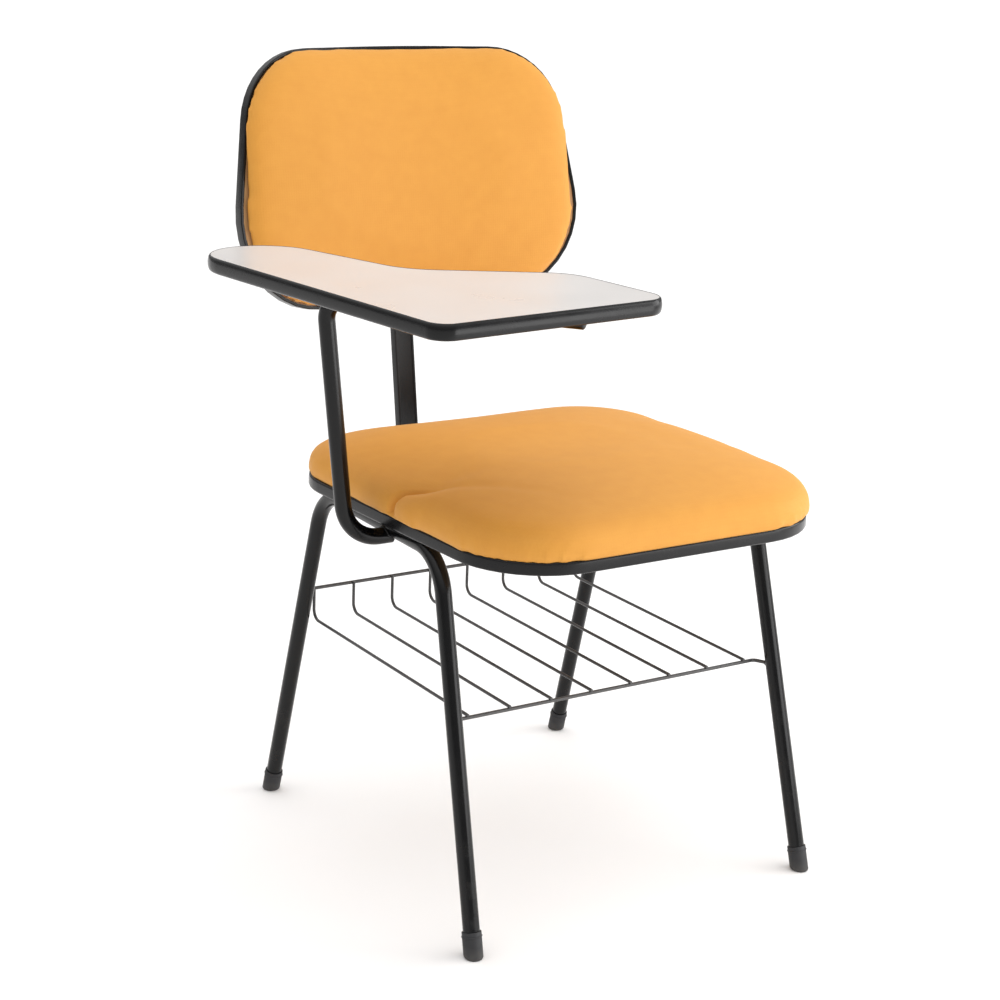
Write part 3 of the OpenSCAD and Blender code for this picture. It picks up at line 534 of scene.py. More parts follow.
arm_runs = [-RAIL_X - arm_low_x - low_bend, upright, ARM_RUN - high_bend]
arm_end = bent_tube(arm, arm_start, arm_runs, [low_turn, high_turn], [0, -roll], ARM_BENDS, TUBE_R,
                    sides=44, steps=20)
keep_piece("arm_tube", arm, paint, "frame_paint", "tablet_arm")

ON_ARM = DRAWING @ shift(arm_high_x, ARM_Y, ARM_TOP_Z) @ turn(-ARM_TURN, "Z") @ turn(90, "Y")
at_plug = ON_ARM @ shift(0, 0, ARM_RUN)
plug = bmesh.new()
bmesh.ops.create_uvsphere(plug, u_segments=36, v_segments=18, radius=1,
                          matrix=at_plug @ sized(TUBE_R, TUBE_R, PLUG_RISE))
keep_piece("arm_plug_dome", plug, moulded, "cover_plastic", "arm_end_plug")
print("the arm ends at", [round(c, 4) for c in arm_end.translation])
print("its plug is at", [round(c, 4) for c in at_plug.translation])

# %% [markdown]
# ## Cross rails, tabs and spine
# Two flat box tubes join the side frames, and thin tabs on them take the seat bolts. A flat bar runs back
# under them and up behind the backrest. Pressed and rolled steel has soft edges, so each gets a small round.

# %% Cross rails
CROSS_RISE, CROSS_H, CROSS_W, CROSS_INSET, CROSS_GAP = 3, 10, 25, 64, 4
CROSS_TOP = RAIL_Z + TUBE_R - CROSS_RISE
CROSS_LOW = CROSS_TOP - CROSS_H
FRONT_CROSS, REAR_CROSS = FRONT_CORNER + CROSS_INSET, REAR_CORNER - CROSS_INSET
for end, y in (("front", FRONT_CROSS), ("rear", REAR_CROSS)):
    box_tube = bmesh.new()
    size = sized(2 * (RAIL_X - CROSS_GAP), CROSS_W, CROSS_H)
    bmesh.ops.create_cube(box_tube, size=1, matrix=DRAWING @ shift(0, y, CROSS_TOP - CROSS_H / 2) @ size)
    soften(box_tube, 2, 4, lambda e: abs((e.verts[0].co - e.verts[1].co).x) > CROSS_W * MM)
    keep_piece("cross_tube_" + end, box_tube, paint, "frame_paint", end + "_cross_rail")

# %% Tabs, spine bar, cover, bracket and straps
keep_piece("seat_tabs", soften(solid_of("seat_mount_tabs"), 0.5, 2), paint, "frame_paint", "seat_mount_tabs")
keep_piece("spine_flat_bar", soften(solid_of("spine_bar"), 1.2), paint, "frame_paint", "spine_bar")
keep_piece("spine_snap_cover", soften(solid_of("spine_cover"), 0.9), moulded, "cover_plastic", "spine_cover")
keep_piece("back_plate", soften(solid_of("back_bracket"), 0.8, 2), paint, "frame_paint", "back_bracket")
keep_piece("arm_saddles", soften(solid_of("tablet_straps"), 0.5, 2), paint, "frame_paint", "tablet_straps")

# %% [markdown]
# ## Feet
# Each leg ends in a rubber cap that is cut level with the floor. Its lower edge is well rounded, its rim is
# thin, and a raised ring near the top lets a hand pull it on.

# %% Foot caps
CAP_R, CAP_H, RING_R, RING_DOWN = TUBE_R + 1.5, 28, 0.7, 5
SOLE, RIM_ABOVE = 0.5 * MM, 12 * MM


def on_leg(front):
    """The foot of a right leg, looking up along its tube."""
    corner, rake, long = FRONT_CORNER, -FRONT_RAKE, FRONT_LEG
    if not front:
        corner, rake, long = REAR_CORNER, REAR_RAKE, REAR_LEG
    return ON_FRAME @ shift(0, corner, 0) @ turn(rake, "X") @ shift(0, 0, -long)


for leg_name in ("front_right", "front_left", "rear_right", "rear_left"):
    cap = solid_of("foot_cap_" + leg_name)
    soften(cap, 3, 5, lambda e: max(v.co.z for v in e.verts) < SOLE)
    soften(cap, 0.5, 2, lambda e: min(v.co.z for v in e.verts) > RIM_ABOVE)
    ring = bmesh.new()
    foot = on_leg(leg_name.startswith("front"))
    start = foot @ shift(CAP_R, 0, CAP_H - RING_DOWN) @ turn(90, "X")
    section = bmesh.ops.create_circle(ring, radius=RING_R * MM, segments=8, matrix=start)["verts"]
    edges = list({e for v in section for e in v.link_edges})
    bmesh.ops.spin(ring, geom=edges, cent=(foot @ shift(0, 0, CAP_H - RING_DOWN)).translation,
                   axis=foot.to_3x3() @ Vector((0, 0, 1)), angle=math.tau, steps=40, use_merge=True)
    if leg_name.endswith("left"):
        bmesh.ops.transform(ring, matrix=MIRROR, verts=ring.verts)
    loose = bpy.data.meshes.new("ring")
    ring.to_mesh(loose)
    ring.free()
    cap.from_mesh(loose)
    keep_piece("foot_" + leg_name, cap, rubber, "foot_rubber", "foot_cap_" + leg_name)

# %% [markdown]
# ## Edge trims
# A vinyl strip is hammered into the boards' edges all round. It has rounded corners, and its two ends meet
# in a fine slit, at the back of the seat and at the bottom of the backrest.

# %% Seat and back trims
BACK_Y, BACK_Z, BACK_TILT = 345, 728, 9
TRIM_ROUND, TRIM_SEGMENTS, SLIT = 3.2, 6, 0.5 * MM
ON_BACK = DRAWING @ shift(0, BACK_Y, BACK_Z) @ turn(-BACK_TILT, "X")
BACK_FACING = (ON_BACK.to_3x3() @ Vector((0, -1, 0))).normalized()
UP = Vector((0, 0, 1))


def middle_of(bm):
    return sum((v.co for v in bm.verts), Vector()) / len(bm.verts)


def open_joint(bm, width, there):
    """Cuts a strip across at the middle and leaves a fine gap between its two ends."""
    for side in (-1, 1):
        everything = list(bm.verts) + list(bm.edges) + list(bm.faces)
        cut = (ZERO.x + side * width / 2, 0, 0)
        bmesh.ops.bisect_plane(bm, geom=everything, plane_co=cut, plane_no=(side, 0, 0), dist=1e-6)
    middles = [(f, f.calc_center_median()) for f in bm.faces]
    inside = [f for f, middle in middles if abs(middle.x - ZERO.x) < width / 2 and there(middle)]
    bmesh.ops.delete(bm, geom=inside, context="FACES")
    bmesh.ops.holes_fill(bm, edges=[e for e in bm.edges if e.is_boundary], sides=0)


def round_outside(bm, board_up):
    """Rounds the edges of a trim's outer wall, which is the wall that faces away from the trim's middle."""
    middle = middle_of(bm)
    upright = [f for f in bm.faces if abs(f.normal.dot(board_up)) < 0.5]
    walls = [f for f in upright if f.normal.dot(f.calc_center_median() - middle) > 0]
    around = {e for f in walls for e in f.edges}
    return soften(bm, TRIM_ROUND, TRIM_SEGMENTS, lambda e: e in around)


seat_trim = round_outside(solid_of("seat_edge_trim"), UP)
open_joint(seat_trim, SLIT, lambda c: c.y > ZERO.y)
keep_piece("seat_vinyl_trim", seat_trim, vinyl, "trim_plastic", "seat_edge_trim")
back_trim = round_outside(solid_of("back_edge_trim"), BACK_FACING)
open_joint(back_trim, SLIT, lambda c: c.z < BACK_Z * MM)
keep_piece("back_vinyl_trim", back_trim, vinyl, "trim_plastic", "back_edge_trim")

# %% [markdown]
# ## Tablet band
# The band round the tablet has a half round nose, and its lip stands a little above the laminate. Its tall
# edges are cut into short ones first, and each new row of points is then drawn in along a half circle.

# %% Tablet band
NOSE, LIP, TALL, CUTS = 2.7, 0.3, 10 * MM, 13
band = solid_of("tablet_edge_band")
tall = [e for e in band.edges if abs(e.verts[0].co.z - e.verts[1].co.z) > TALL]
bmesh.ops.subdivide_edges(band, edges=tall, cuts=CUTS, use_grid_fill=True)
band.normal_update()
band_middle = middle_of(band)
moves = []
for vert in band.verts:
    sideways = [f.normal for f in vert.link_faces if abs(f.normal.z) < 0.5]
    out = sum(sideways, Vector()).normalized()
    rise = (vert.co.z / MM - TABLET_LOW) / (TABLET_TOP - TABLET_LOW) * 2 - 1  # from -1 below to 1 above
    outer = out.dot(vert.co - band_middle) > 0
    nose = NOSE * (1 - math.sqrt(max(0, 1 - rise ** 2))) if outer else 0
    moves.append((vert, -out * nose * MM + Vector((0, 0, LIP * MM * (rise + 1) / 2))))
for vert, move in moves:
    vert.co += move
keep_piece("tablet_vinyl_band", band, vinyl, "trim_plastic", "tablet_edge_band")

# %% [markdown]
# ## Book basket
# Two cross bars are welded between the legs. Eight long wires lie on the front bar, run back level and turn
# up to meet the rear bar. The cut ends of the wires are slightly rounded by the paint.

# %% Basket bars
BAR_D, WIRE_D, BASKET_Z, RISE = 4.2, 3.6, 234, 36
BAR_TURN, BAR_BEND, SUNK, FRONT_REACH, REAR_REACH = 60, 8, 0.6, 21, 18.5


def leg_at(front, z):
    """Where the axis of a right leg passes a height, in the drawing's millimetres."""
    along = (RAIL_Z - z) / cosine(LEAN)
    y = FRONT_CORNER - along * tangent(FRONT_RAKE) if front else REAR_CORNER + along * tangent(REAR_RAKE)
    x = (z - RAIL_Z) * tangent(LEAN)
    return x * cosine(TOE_IN) + y * sine(TOE_IN) - RAIL_X, y * cosine(TOE_IN) - x * sine(TOE_IN)


BAR_STEP = (WIRE_D + BAR_D) / 2 - SUNK
BAR_Z, REAR_BAR_Z = BASKET_Z - BAR_STEP, BASKET_Z + RISE
FRONT_BAR_Y = leg_at(True, BAR_Z)[1] + FRONT_REACH
REAR_BAR_Y = leg_at(False, REAR_BAR_Z)[1] + REAR_REACH
RISER_Y = REAR_BAR_Y - BAR_STEP
BARS = {"front": (True, FRONT_BAR_Y, BAR_Z), "rear": (False, REAR_BAR_Y, REAR_BAR_Z)}
for end, (front, y, z) in BARS.items():
    leg = leg_at(front, z)
    step = abs(leg[1] - y)
    bend_in = BAR_BEND * tangent(BAR_TURN / 2)
    end_run = step / sine(BAR_TURN) - bend_in
    middle_run = 2 * (-leg[0] - step / tangent(BAR_TURN) - bend_in)
    bar = bmesh.new()
    start = DRAWING @ shift(leg[0], leg[1], z) @ turn(BAR_TURN, "Z") @ turn(90, "Y") @ turn(-90, "Z")
    bent_tube(bar, start, [end_run, middle_run, end_run], [BAR_TURN] * 2, [0, 0], [BAR_BEND] * 2, BAR_D / 2,
              sides=20, steps=8)
    keep_piece("basket_bar_" + end, bar, wire_paint, "wire_paint", "basket_" + end + "_bar")

# %% Basket wires
WIRES, WIRE_INSET, WIRE_BEND = 8, 20, 12
WIRE_X = [(RAIL_X - WIRE_INSET) * (2 * i / (WIRES - 1) - 1) for i in range(WIRES)]
wires = bmesh.new()
for x in WIRE_X:
    start = DRAWING @ shift(x, FRONT_BAR_Y - BAR_D / 2, BASKET_Z) @ turn(-90, "X") @ turn(-90, "Z")
    runs = [RISER_Y - WIRE_BEND - FRONT_BAR_Y + BAR_D / 2, RISE - WIRE_BEND + BAR_D / 2]
    bent_tube(wires, start, runs, [90], [0], [WIRE_BEND], WIRE_D / 2, sides=16, steps=8)
soften(wires, 0.5, 2)
keep_piece("basket_long_wires", wires, wire_paint, "wire_paint", "basket_wires")

# %% [markdown]
# ## Welds
# Where tube meets tube, a welder leaves a row of overlapping beads, later painted with the frame. Small
# balls laid along each seam give that look. A steady noise moves them a little, so each run makes the same
# welds.

# %% Weld seams
BIG_BEAD, MIDDLE_BEAD, SPINE_BEAD, BAR_BEAD, WIRE_BEAD = 1.7, 1.4, 1.3, 1.1, 0.8
welds = bmesh.new()


def weld_seam(points, radius):
    for i, point in enumerate(points):
        wobble = noise.noise_vector(Vector((i * 1.7, point[0] * 0.31, point[1] * 0.17))) * 0.25
        size = radius * (1 + 0.12 * math.sin(i * 2.4))
        where = shift(point[0] + wobble.x, point[1] + wobble.y, point[2] + wobble.z)
        ball = DRAWING @ where @ sized(size, size, size)
        bmesh.ops.create_icosphere(welds, subdivisions=2, radius=1, matrix=ball)


def line(a, b, count):
    return [tuple(a[k] + (b[k] - a[k]) * i / (count - 1) for k in range(3)) for i in range(count)]


def rail_side(z):
    """How far the side rail's skin lies from its axis at a height."""
    return math.sqrt(max(0, TUBE_R ** 2 - (z - RAIL_Z) ** 2))


# the arm on the side rail: the upper half of the arm's ring lies on the rail
ARM_BEADS, RING_FROM, RING_SWEEP = 23, -6, 192
ring = []
for i in range(ARM_BEADS):
    angle = RING_FROM + RING_SWEEP * i / (ARM_BEADS - 1)
    z = ARM_LOW_Z + TUBE_R * sine(angle)
    ring.append((-RAIL_X - rail_side(z), ARM_Y + TUBE_R * cosine(angle), z))
weld_seam(ring, BIG_BEAD)

# the cross rails on the side rails, up their two sides and along their undersides
FIRST_BEAD, BEAD_STEP, UP_BEADS, UNDER_BEADS, UNDER_HALF, UNDER_IN = 1, 1.6, 6, 15, 11, 8.1
heights = [CROSS_LOW + FIRST_BEAD + BEAD_STEP * i for i in range(UP_BEADS)]
for side in (-1, 1):
    for y in (FRONT_CROSS, REAR_CROSS):
        for edge_y in (y - CROSS_W / 2, y + CROSS_W / 2):
            reach = RAIL_X - edge_y * sine(TOE_IN)
            weld_seam([(side * (reach - rail_side(z)), edge_y, z) for z in heights], MIDDLE_BEAD)
        low = side * (RAIL_X - y * sine(TOE_IN) - UNDER_IN)
        ends = [(low, y - UNDER_HALF, CROSS_LOW), (low, y + UNDER_HALF, CROSS_LOW)]
        weld_seam(line(*ends, UNDER_BEADS), MIDDLE_BEAD)

# the flat spine bar under the cross rails
SPINE_HALF, SPINE_REACH, SPINE_BEADS, SPINE_SUNK = 10, 10, 14, 0.4
for y in (FRONT_CROSS, REAR_CROSS):
    for x in (-SPINE_HALF, SPINE_HALF):
        ends = [(x, y + way * SPINE_REACH, CROSS_LOW - SPINE_SUNK) for way in (-1, 1)]
        weld_seam(line(*ends, SPINE_BEADS), SPINE_BEAD)

# the ends of the basket's cross bars on the legs
END_BEADS, END_RING = 9, 2.6
for front, bar_y, bar_z in BARS.values():
    leg = leg_at(front, bar_z)
    away = Vector((cosine(BAR_TURN), math.copysign(sine(BAR_TURN), bar_y - leg[1])))
    for side in (-1, 1):
        for i in range(END_BEADS):
            angle = math.tau * i / END_BEADS
            out = away * TUBE_R + Vector((-away.y, away.x)) * END_RING * math.cos(angle)
            z = bar_z + END_RING * math.sin(angle)
            weld_seam([(-side * (leg[0] + out.x), leg[1] + out.y, z)], BAR_BEAD)

# each long wire on the two cross bars
WIRE_SIDE, WIRE_SUNK = 1.5, 0.3
for x in WIRE_X:
    for bead_x in (x - WIRE_SIDE, x + WIRE_SIDE):
        on_front = (bead_x, FRONT_BAR_Y, BASKET_Z - WIRE_D / 2 + WIRE_SUNK)
        on_rear = (bead_x, RISER_Y + WIRE_D / 2 - WIRE_SUNK, REAR_BAR_Z)
        weld_seam([on_front, on_rear], WIRE_BEAD)
keep_piece("weld_beads", welds, paint, "frame_paint")

# %% [markdown]
# ## Bolts and screws
# Four hex bolts hold the seat and four the backrest, each with a washer face under its head. Four pan head
# screws hold the tablet's saddles, with a cross recess pressed into each dome.

# %% Hex bolts
HEAD_H, HEAD_R, CHAMFERED_R, WASHER_H, WASHER_R, WASHER_EDGE, SHANK_R = 2.3, 5.77, 5.3, 1.2, 6, 5.6, 2.98
TAB_X, TAB_Y, SEAT_BOLT, BACK_BOLT = 55, 24.5, 13.6, 15.6
BACK_BOLT_X, BACK_BOLT_Z, PLATE_Y = 28, 45, 11


def round_bar(bm, at, sides, low_r, high_r, low, tall):
    """A straight or tapered bar that starts at a height and is so many millimetres tall."""
    bmesh.ops.create_cone(bm, cap_ends=True, segments=sides, radius1=low_r * MM, radius2=high_r * MM,
                          depth=tall * MM, matrix=at @ shift(0, 0, low + tall / 2))


def hex_bolt(bm, at, length):
    round_bar(bm, at, 6, CHAMFERED_R, HEAD_R, -WASHER_H - HEAD_H, HEAD_H)
    round_bar(bm, at, 32, WASHER_EDGE, WASHER_R, -WASHER_H, WASHER_H)
    round_bar(bm, at, 20, SHANK_R, SHANK_R, 0, length)


bolts = bmesh.new()
for x in (TAB_X - RAIL_X, RAIL_X - TAB_X):
    for y in (FRONT_CROSS + TAB_Y, REAR_CROSS + TAB_Y):
        hex_bolt(bolts, DRAWING @ shift(x, y, CROSS_TOP), SEAT_BOLT)
keep_piece("seat_hex_bolts", bolts, zinc, "bolt_steel", "seat_bolts")

bolts = bmesh.new()
for x in (-BACK_BOLT_X, BACK_BOLT_X):
    for z in (-BACK_BOLT_Z, BACK_BOLT_Z):
        hex_bolt(bolts, ON_BACK @ shift(x, PLATE_Y, z) @ turn(90, "X"), BACK_BOLT)
keep_piece("back_hex_bolts", bolts, zinc, "bolt_steel", "back_bolts")

# %% Saddle screws
SADDLES, SADDLE_T, SCREW_OUT = (75, 215), 2, 7.5
PAN_R, PAN_H, SCREW_R, SCREW_LONG = 4.5, 2.5, 1.98, 12
CROSS_SLOT, CROSS_REACH, CROSS_FROM, CROSS_FLOOR = 0.75, 2.6, -1.6, -1.1
screws = bmesh.new()
for along in SADDLES:
    for side in (-1, 1):
        across = side * (TUBE_R + SADDLE_T + SCREW_OUT)
        at = ON_ARM @ shift(SADDLE_T - TUBE_R, across, along) @ turn(-90, "Y")
        pan = at @ sized(PAN_R, PAN_R, PAN_H)
        head = bmesh.ops.create_uvsphere(screws, u_segments=28, v_segments=14, radius=1, matrix=pan)["verts"]
        for v in head:
            local = (at.inverted() @ v.co) / MM
            if local.z > 0:
                v.co = at @ (Vector((local.x, local.y, 0)) * MM)
            arms = sorted((abs(local.x), abs(local.y)))
            if local.z < CROSS_FROM and arms[0] < CROSS_SLOT and arms[1] < CROSS_REACH:
                v.co = at @ (Vector((local.x, local.y, CROSS_FLOOR)) * MM)
        round_bar(screws, at, 16, SCREW_R, SCREW_R, 0, SCREW_LONG)
keep_piece("saddle_screws", screws, zinc, "bolt_steel", "tablet_screws")

# %% [markdown]
# ## Cushions
# Foam under a tight cover swells between its held edges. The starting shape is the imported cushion, remeshed
# to an even net. Blender's Cloth blows it up gently while the rim and base stay pinned. The moves are then
# evened out, because a tight cover has no wrinkles, and capped. The cover is also drawn out over the board's
# trim.

# %% Helpers for cushions
PINNED_BELOW, LOOSE_ABOVE, CLOTH_STEPS = 4, 1, 20
FADE_IN, FOLD_FROM, FOLD_FADE, SHOULDER_FROM, SHOULDER_FADE = 2.5, 3, 9, 8, 10


def smooth_step(value):
    value = min(1, max(0, value))
    return value * value * (3 - 2 * value)


def evaluated_mesh(piece):
    return bpy.data.meshes.new_from_object(piece.evaluated_get(bpy.context.evaluated_depsgraph_get()))


def places(mesh):
    found = np.empty(3 * len(mesh.vertices))
    mesh.vertices.foreach_get("co", found)
    return found.reshape(-1, 3)


def even_out(mesh, values, free, rounds):
    """Moves the value of each free vertex towards the mean of its neighbours."""
    ends = np.empty(2 * len(mesh.edges), dtype=int)
    mesh.edges.foreach_get("vertices", ends)
    here = np.concatenate((ends[0::2], ends[1::2]))
    there = np.concatenate((ends[1::2], ends[0::2]))
    count = np.bincount(here, minlength=len(values))[:, None]
    for _ in range(rounds):
        sums = [np.bincount(here, weights=values[there, k], minlength=len(values)) for k in range(3)]
        values = np.where(free[:, None], 0.5 * values + 0.5 * np.stack(sums, axis=1) / count, values)
    return values


print("cushion helpers ready")

# %% Remesh a cushion and blow it up


def even_net(node, voxel):
    """An object with a copy of a node, whose loose triangles are remeshed to an even net."""
    bm = bmesh.new()
    bm.from_mesh(NODES[node].data)
    bmesh.ops.remove_doubles(bm, verts=bm.verts, dist=0.01 * MM)
    mesh = bpy.data.meshes.new(node + "_start")
    bm.to_mesh(mesh)
    bm.free()
    bag = bpy.data.objects.new(node + "_bag", mesh)
    bpy.context.scene.collection.objects.link(bag)
    net = bag.modifiers.new("net", "REMESH")
    net.mode = "VOXEL"
    net.voxel_size = voxel * MM
    bag.data = evaluated_mesh(bag)
    bag.modifiers.clear()
    return bag


def blown_up(bag, held, pressure):
    """Where the cloth has its points after it is blown up."""
    group = bag.vertex_groups.new(name="pinned")
    group.add([int(i) for i in np.flatnonzero(held)], 1, "REPLACE")
    cloth = bag.modifiers.new("cloth", "CLOTH")
    cloth.settings.quality = 5
    cloth.settings.mass = 0.3
    cloth.settings.tension_stiffness = 30
    cloth.settings.compression_stiffness = 30
    cloth.settings.bending_stiffness = 6
    cloth.settings.vertex_group_mass = "pinned"
    cloth.settings.use_pressure = True
    cloth.settings.uniform_pressure_force = pressure
    cloth.settings.effector_weights.gravity = 0
    cloth.point_cache.frame_start = 1
    cloth.point_cache.frame_end = CLOTH_STEPS
    for step in range(1, CLOTH_STEPS + 1):
        bpy.context.scene.frame_set(step)
    blown = places(evaluated_mesh(bag))
    bag.modifiers.clear()
    bag.vertex_groups.clear()
    bpy.context.scene.frame_set(1)
    return blown


def swell(node, height_over_board, voxel, pressure, cap):
    """Blows up a copy of a cushion by no more than a cap and returns its mesh, made finer."""
    bag = even_net(node, voxel)
    heights = np.array([height_over_board(v.co) for v in bag.data.vertices])
    held = heights < PINNED_BELOW
    rest = even_out(bag.data, places(bag.data), heights > LOOSE_ABOVE, rounds=8)
    bag.data.vertices.foreach_set("co", rest.ravel())
    moves = even_out(bag.data, blown_up(bag, held, pressure) - rest, ~held, rounds=40)
    lengths = np.linalg.norm(moves, axis=1)
    print(node, "swelled by up to", round(lengths.max() / MM, 1), "mm, capped at", cap)
    rest = rest + moves * (cap * MM / np.maximum(lengths, cap * MM))[:, None]
    bag.data.vertices.foreach_set("co", rest.ravel())
    finer = bag.modifiers.new("finer", "SUBSURF")
    finer.levels = finer.render_levels = 1
    mesh = evaluated_mesh(bag)
    bpy.data.objects.remove(bag)
    return mesh


print("swell ready")

# %% Draw a cover over its trim and keep it


def fill_out(mesh, board_up, height_over_board, reach, wall, droop, shoulder):
    """Draws the cover's sides out over the trim, lets the lowest fold hang and makes the shoulder fuller.

    The sides up to the wall's height go out by the reach, the fold goes down by the droop, and all of
    these are in millimetres."""
    heights = np.array([height_over_board(v.co) for v in mesh.vertices])
    pushes = []
    for vertex, height in zip(mesh.vertices, heights):
        slope = vertex.normal.dot(board_up) ** 2
        sideways = vertex.normal - board_up * vertex.normal.dot(board_up)
        start = smooth_step((height - LOOSE_ABOVE) / FADE_IN)
        share = start * (1 - smooth_step((height - wall) / (3 * wall)))
        fold = start * (1 - smooth_step((height - FOLD_FROM) / FOLD_FADE)) * sideways.length
        full = 4 * slope * (1 - slope) * smooth_step((height - SHOULDER_FROM) / SHOULDER_FADE)
        push = sideways * share * reach - board_up * fold * droop + vertex.normal * full * shoulder
        pushes.append(push * MM)
    pushes = even_out(mesh, np.array(pushes), heights > LOOSE_ABOVE, rounds=8)
    drawn = even_out(mesh, places(mesh) + pushes, heights > LOOSE_ABOVE, rounds=10)
    mesh.vertices.foreach_set("co", drawn.ravel())
    mesh.update()


def keep_cover(name, mesh, node):
    mesh.shade_smooth()
    mesh.materials.clear()
    mesh.materials.append(fabric)
    cover = bpy.data.objects.new(name, mesh)
    bpy.context.scene.collection.objects.link(cover)
    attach(cover, "root")
    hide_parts(node)
    print(name, "has", len(mesh.polygons), "faces")


print("cover helpers ready")

# %% [markdown]
# ## Seat cushion
# The photograph shows one crease, where a seam holds the cover down at the seat's right side. It climbs from
# the trim, sweeps forward and inward over the shoulder of the pad and fades into a shallow valley. Ahead of
# it the foam bulges. The far side's outline is smooth, so the crease that the solid has there is filled. The
# net is made finer near the seam.

# %% The seat's crease and its far side
BOARD_TOP, SEAT_HALF, CREASE_Y = 427, 228, -38
CREASE_LEAN, CREASE_SWEEP, SWEEP_FROM = 0.4, 0.85, 14
RIPPLES, RIPPLE = 14, 0.25  # waves in a metre, and their height in millimetres


def over_seat_board(point):
    return point.z / MM - BOARD_TOP


def crease_distance(point):
    """How far a point lies inside the seat's right side, and how far behind the crease, in millimetres."""
    local = (point - ZERO) / MM
    inside = max(0, SEAT_HALF + local.x)
    forward = CREASE_LEAN * inside + CREASE_SWEEP * max(0, inside - SWEEP_FROM)
    return inside, local.y - CREASE_Y + forward


def hump(distance, width):
    return math.exp(-(distance / width) ** 2)


def pull_of_crease(point):
    """How far the crease draws the cover in at a point of the seat, in millimetres."""
    inside, behind = crease_distance(point)
    sharp = 12 * hump(behind, 4.4) * hump(inside, 25)
    valley = 3 * hump(behind, 17) * hump(inside, 80)
    bulge = 2.6 * hump(behind + 40, 30) * hump(inside, 36)
    return sharp + valley - bulge


def even_far_side(mesh):
    """Fills the solid's crease at the seat's left side from the sections ahead of it and behind it.

    Rays from a hub inside the pad tell how far out the cover lies in both sections."""
    hub_x, hub_z, ahead, behind, crown = 150, 440, -150, 95, 14
    from_x, fade_x, fade_y = 70, 90, 60
    tree = BVHTree.FromPolygons([v.co for v in mesh.vertices], [tuple(p.vertices) for p in mesh.polygons])
    moves = np.zeros((len(mesh.vertices), 3))
    for vertex in mesh.vertices:
        x, y, z = (vertex.co - ZERO) / MM
        if x < from_x or z < BOARD_TOP + LOOSE_ABOVE or not ahead < y < behind:
            continue
        ray = Vector((x - hub_x, 0, z - hub_z))
        reached = []
        for section in (ahead, behind):
            start = spot(hub_x, section, hub_z)
            reached.append((tree.ray_cast(start, ray.normalized())[0] - start).length / MM)
        across = (y - ahead) / (behind - ahead)
        goal = reached[0] + (reached[1] - reached[0]) * across + crown * across * (1 - across)
        share = smooth_step((x - from_x) / fade_x)
        share *= smooth_step((y - ahead) / fade_y) * smooth_step((behind - y) / fade_y)
        moves[vertex.index] = ray.normalized() * max(0, goal - ray.length) * share * MM
    moves = even_out(mesh, moves, moves.any(axis=1), rounds=25)
    mesh.vertices.foreach_set("co", (places(mesh) + moves).ravel())
    mesh.update()


print("the crease starts at", [round(c, 4) for c in spot(-SEAT_HALF, CREASE_Y, BOARD_TOP)])

# %% The seat cushion
SEAM_REACH, SEAM_HALF, RIPPLE_FADE = 60, 14, 4
seat_mesh = swell("seat_cushion", over_seat_board, voxel=5, pressure=0.7, cap=5)
fill_out(seat_mesh, UP, over_seat_board, reach=10, wall=9, droop=8, shoulder=7)
even_far_side(seat_mesh)
net = bmesh.new()
net.from_mesh(seat_mesh)
by_seam = [(v, crease_distance(v.co)) for v in net.verts]
near = {v for v, (inside, behind) in by_seam if inside < SEAM_REACH and abs(behind) < SEAM_HALF}
near_edges = [e for e in net.edges if e.verts[0] in near and e.verts[1] in near]
bmesh.ops.subdivide_edges(net, edges=near_edges, cuts=1, use_grid_fill=True)
net.normal_update()
pulls = []
for vert in net.verts:
    depth = pull_of_crease(vert.co) + noise.noise(vert.co * RIPPLES) * RIPPLE
    share = smooth_step((over_seat_board(vert.co) - LOOSE_ABOVE) / RIPPLE_FADE)
    pulls.append(vert.normal * -depth * MM * share)
for vert, pull in zip(net.verts, pulls):
    vert.co += pull
net.to_mesh(seat_mesh)
net.free()
keep_cover("seat_cover", seat_mesh, "seat_cushion")

# %% [markdown]
# ## Back cushion
# The backrest's pad is thinner and flatter, and it follows the board's sideways curve.

# %% The back cushion
BACK_CURVE, HALF_BOARD, FLAT_BELOW = 900, 6, 2
board_plane = ON_BACK.inverted()


def in_front_of_board(point):
    """Thickness of the pad in front of the board's curved face at a point, in millimetres."""
    local = (board_plane @ point) / MM
    return math.sqrt(max(0, (BACK_CURVE - HALF_BOARD) ** 2 - local.x ** 2)) - BACK_CURVE - local.y


back_mesh = swell("back_cushion", in_front_of_board, voxel=5, pressure=0.6, cap=4)
fill_out(back_mesh, BACK_FACING, in_front_of_board, reach=5, wall=4, droop=1, shoulder=0)
ripples = []
for vertex in back_mesh.vertices:
    share = smooth_step(in_front_of_board(vertex.co) - FLAT_BELOW)
    ripples.append(vertex.normal * noise.noise(vertex.co * RIPPLES) * RIPPLE * MM * share)
for vertex, ripple in zip(back_mesh.vertices, ripples):
    vertex.co += ripple
keep_cover("back_cover", back_mesh, "back_cushion")

# %% [markdown]
# ## Floor and light
# A wide pale floor and a white ceiling give the photograph's white studio. The walls are greyer than the
# ceiling, so the sides of the cushions are darker than their tops, and the black tubes stay dark. The camera
# itself sees plain white past the floor. A low soft box at the front right makes the pale streak along the
# front of the seat's trim.

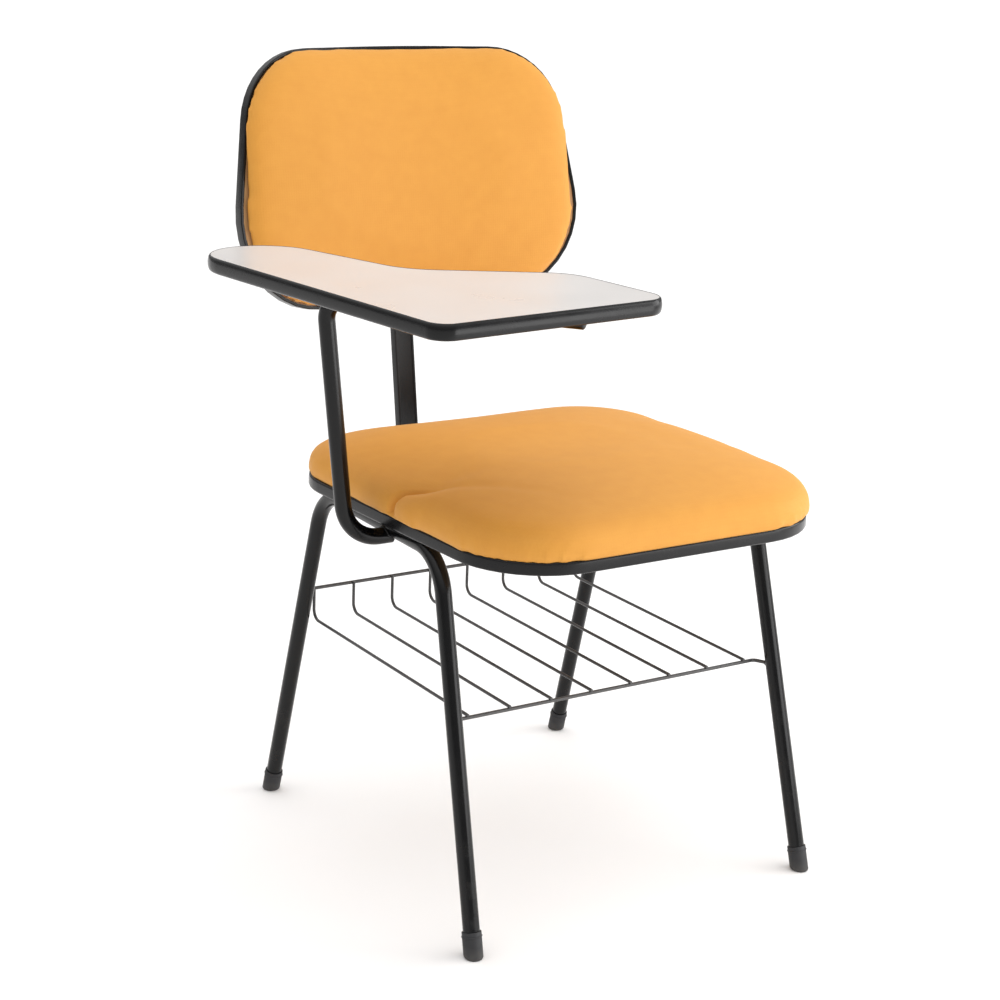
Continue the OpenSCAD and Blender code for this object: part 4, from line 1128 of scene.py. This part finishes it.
# %% Floor
FLOOR_PATCH, FLOOR_HALF = 333, 30
pale, tree, shader, place = new_finish("pale_studio_floor", {"Roughness": 0.8, "Specular IOR Level": 0.2})
faint = add(tree, "ShaderNodeTexNoise", {"Vector": place, "Scale": per_metre(FLOOR_PATCH), "Detail": 3})
tone = add(tree, "ShaderNodeMix",
           {"Factor": faint.outputs["Fac"], COLOUR_A: linear("f6f5f4"), COLOUR_B: linear("f9f8f8")},
           data_type="RGBA")
tree.links.new(tone.outputs[COLOUR_OUT], shader.inputs["Base Color"])
ground = bmesh.new()
bmesh.ops.create_grid(ground, x_segments=4, y_segments=4, size=FLOOR_HALF)
floor_mesh = bpy.data.meshes.new("studio_floor")
ground.to_mesh(floor_mesh)
ground.free()
floor_mesh.materials.append(pale)
studio_floor = bpy.data.objects.new("studio_floor", floor_mesh)
bpy.context.scene.collection.objects.link(studio_floor)
print("floor made")

# %% Sky
WALLS, CEILING = 0.15, 1.75
bpy.context.scene.view_settings.view_transform = "Standard"
sky = bpy.data.worlds.new("white_studio")
sky.use_nodes = True
tree = sky.node_tree
direction = add(tree, "ShaderNodeTexCoord").outputs["Generated"]
height = add(tree, "ShaderNodeSeparateXYZ", {"Vector": direction}).outputs["Z"]
strength = add(tree, "ShaderNodeMapRange", {"Value": height, "To Min": WALLS, "To Max": CEILING})
seen = add(tree, "ShaderNodeLightPath").outputs["Is Camera Ray"]
white_behind = add(tree, "ShaderNodeMath", {0: strength.outputs["Result"], 1: seen}, operation="MAXIMUM")
tree.nodes["Background"].inputs["Color"].default_value = (1, 1, 1, 1)
tree.links.new(white_behind.outputs["Value"], tree.nodes["Background"].inputs["Strength"])
bpy.context.scene.world = sky
print("sky made")

# %% Soft boxes
# name: place, width and height in metres, watts, and the point that it faces
SOFT_LIGHTS = {
    "low_soft_box": ((0.95, -1.5, 0.4), (1.1, 0.55), 7, (0.1, -0.1, 0.4)),
    "key_soft_box": ((2.5, -1.1, 1.3), (2.0, 1.6), 37, (0.05, 0, 0.5)),
}
for name, (where, (width, tall), watts, target) in SOFT_LIGHTS.items():
    data = bpy.data.lights.new(name, "AREA")
    data.shape = "RECTANGLE"
    data.size, data.size_y = width, tall
    data.energy = watts
    lamp = bpy.data.objects.new(name, data)
    lamp.location = where
    lamp.rotation_euler = (Vector(target) - Vector(where)).to_track_quat("-Z", "Y").to_euler()
    lamp.visible_camera = False
    bpy.context.scene.collection.objects.link(lamp)
print("lights:", sorted(SOFT_LIGHTS))
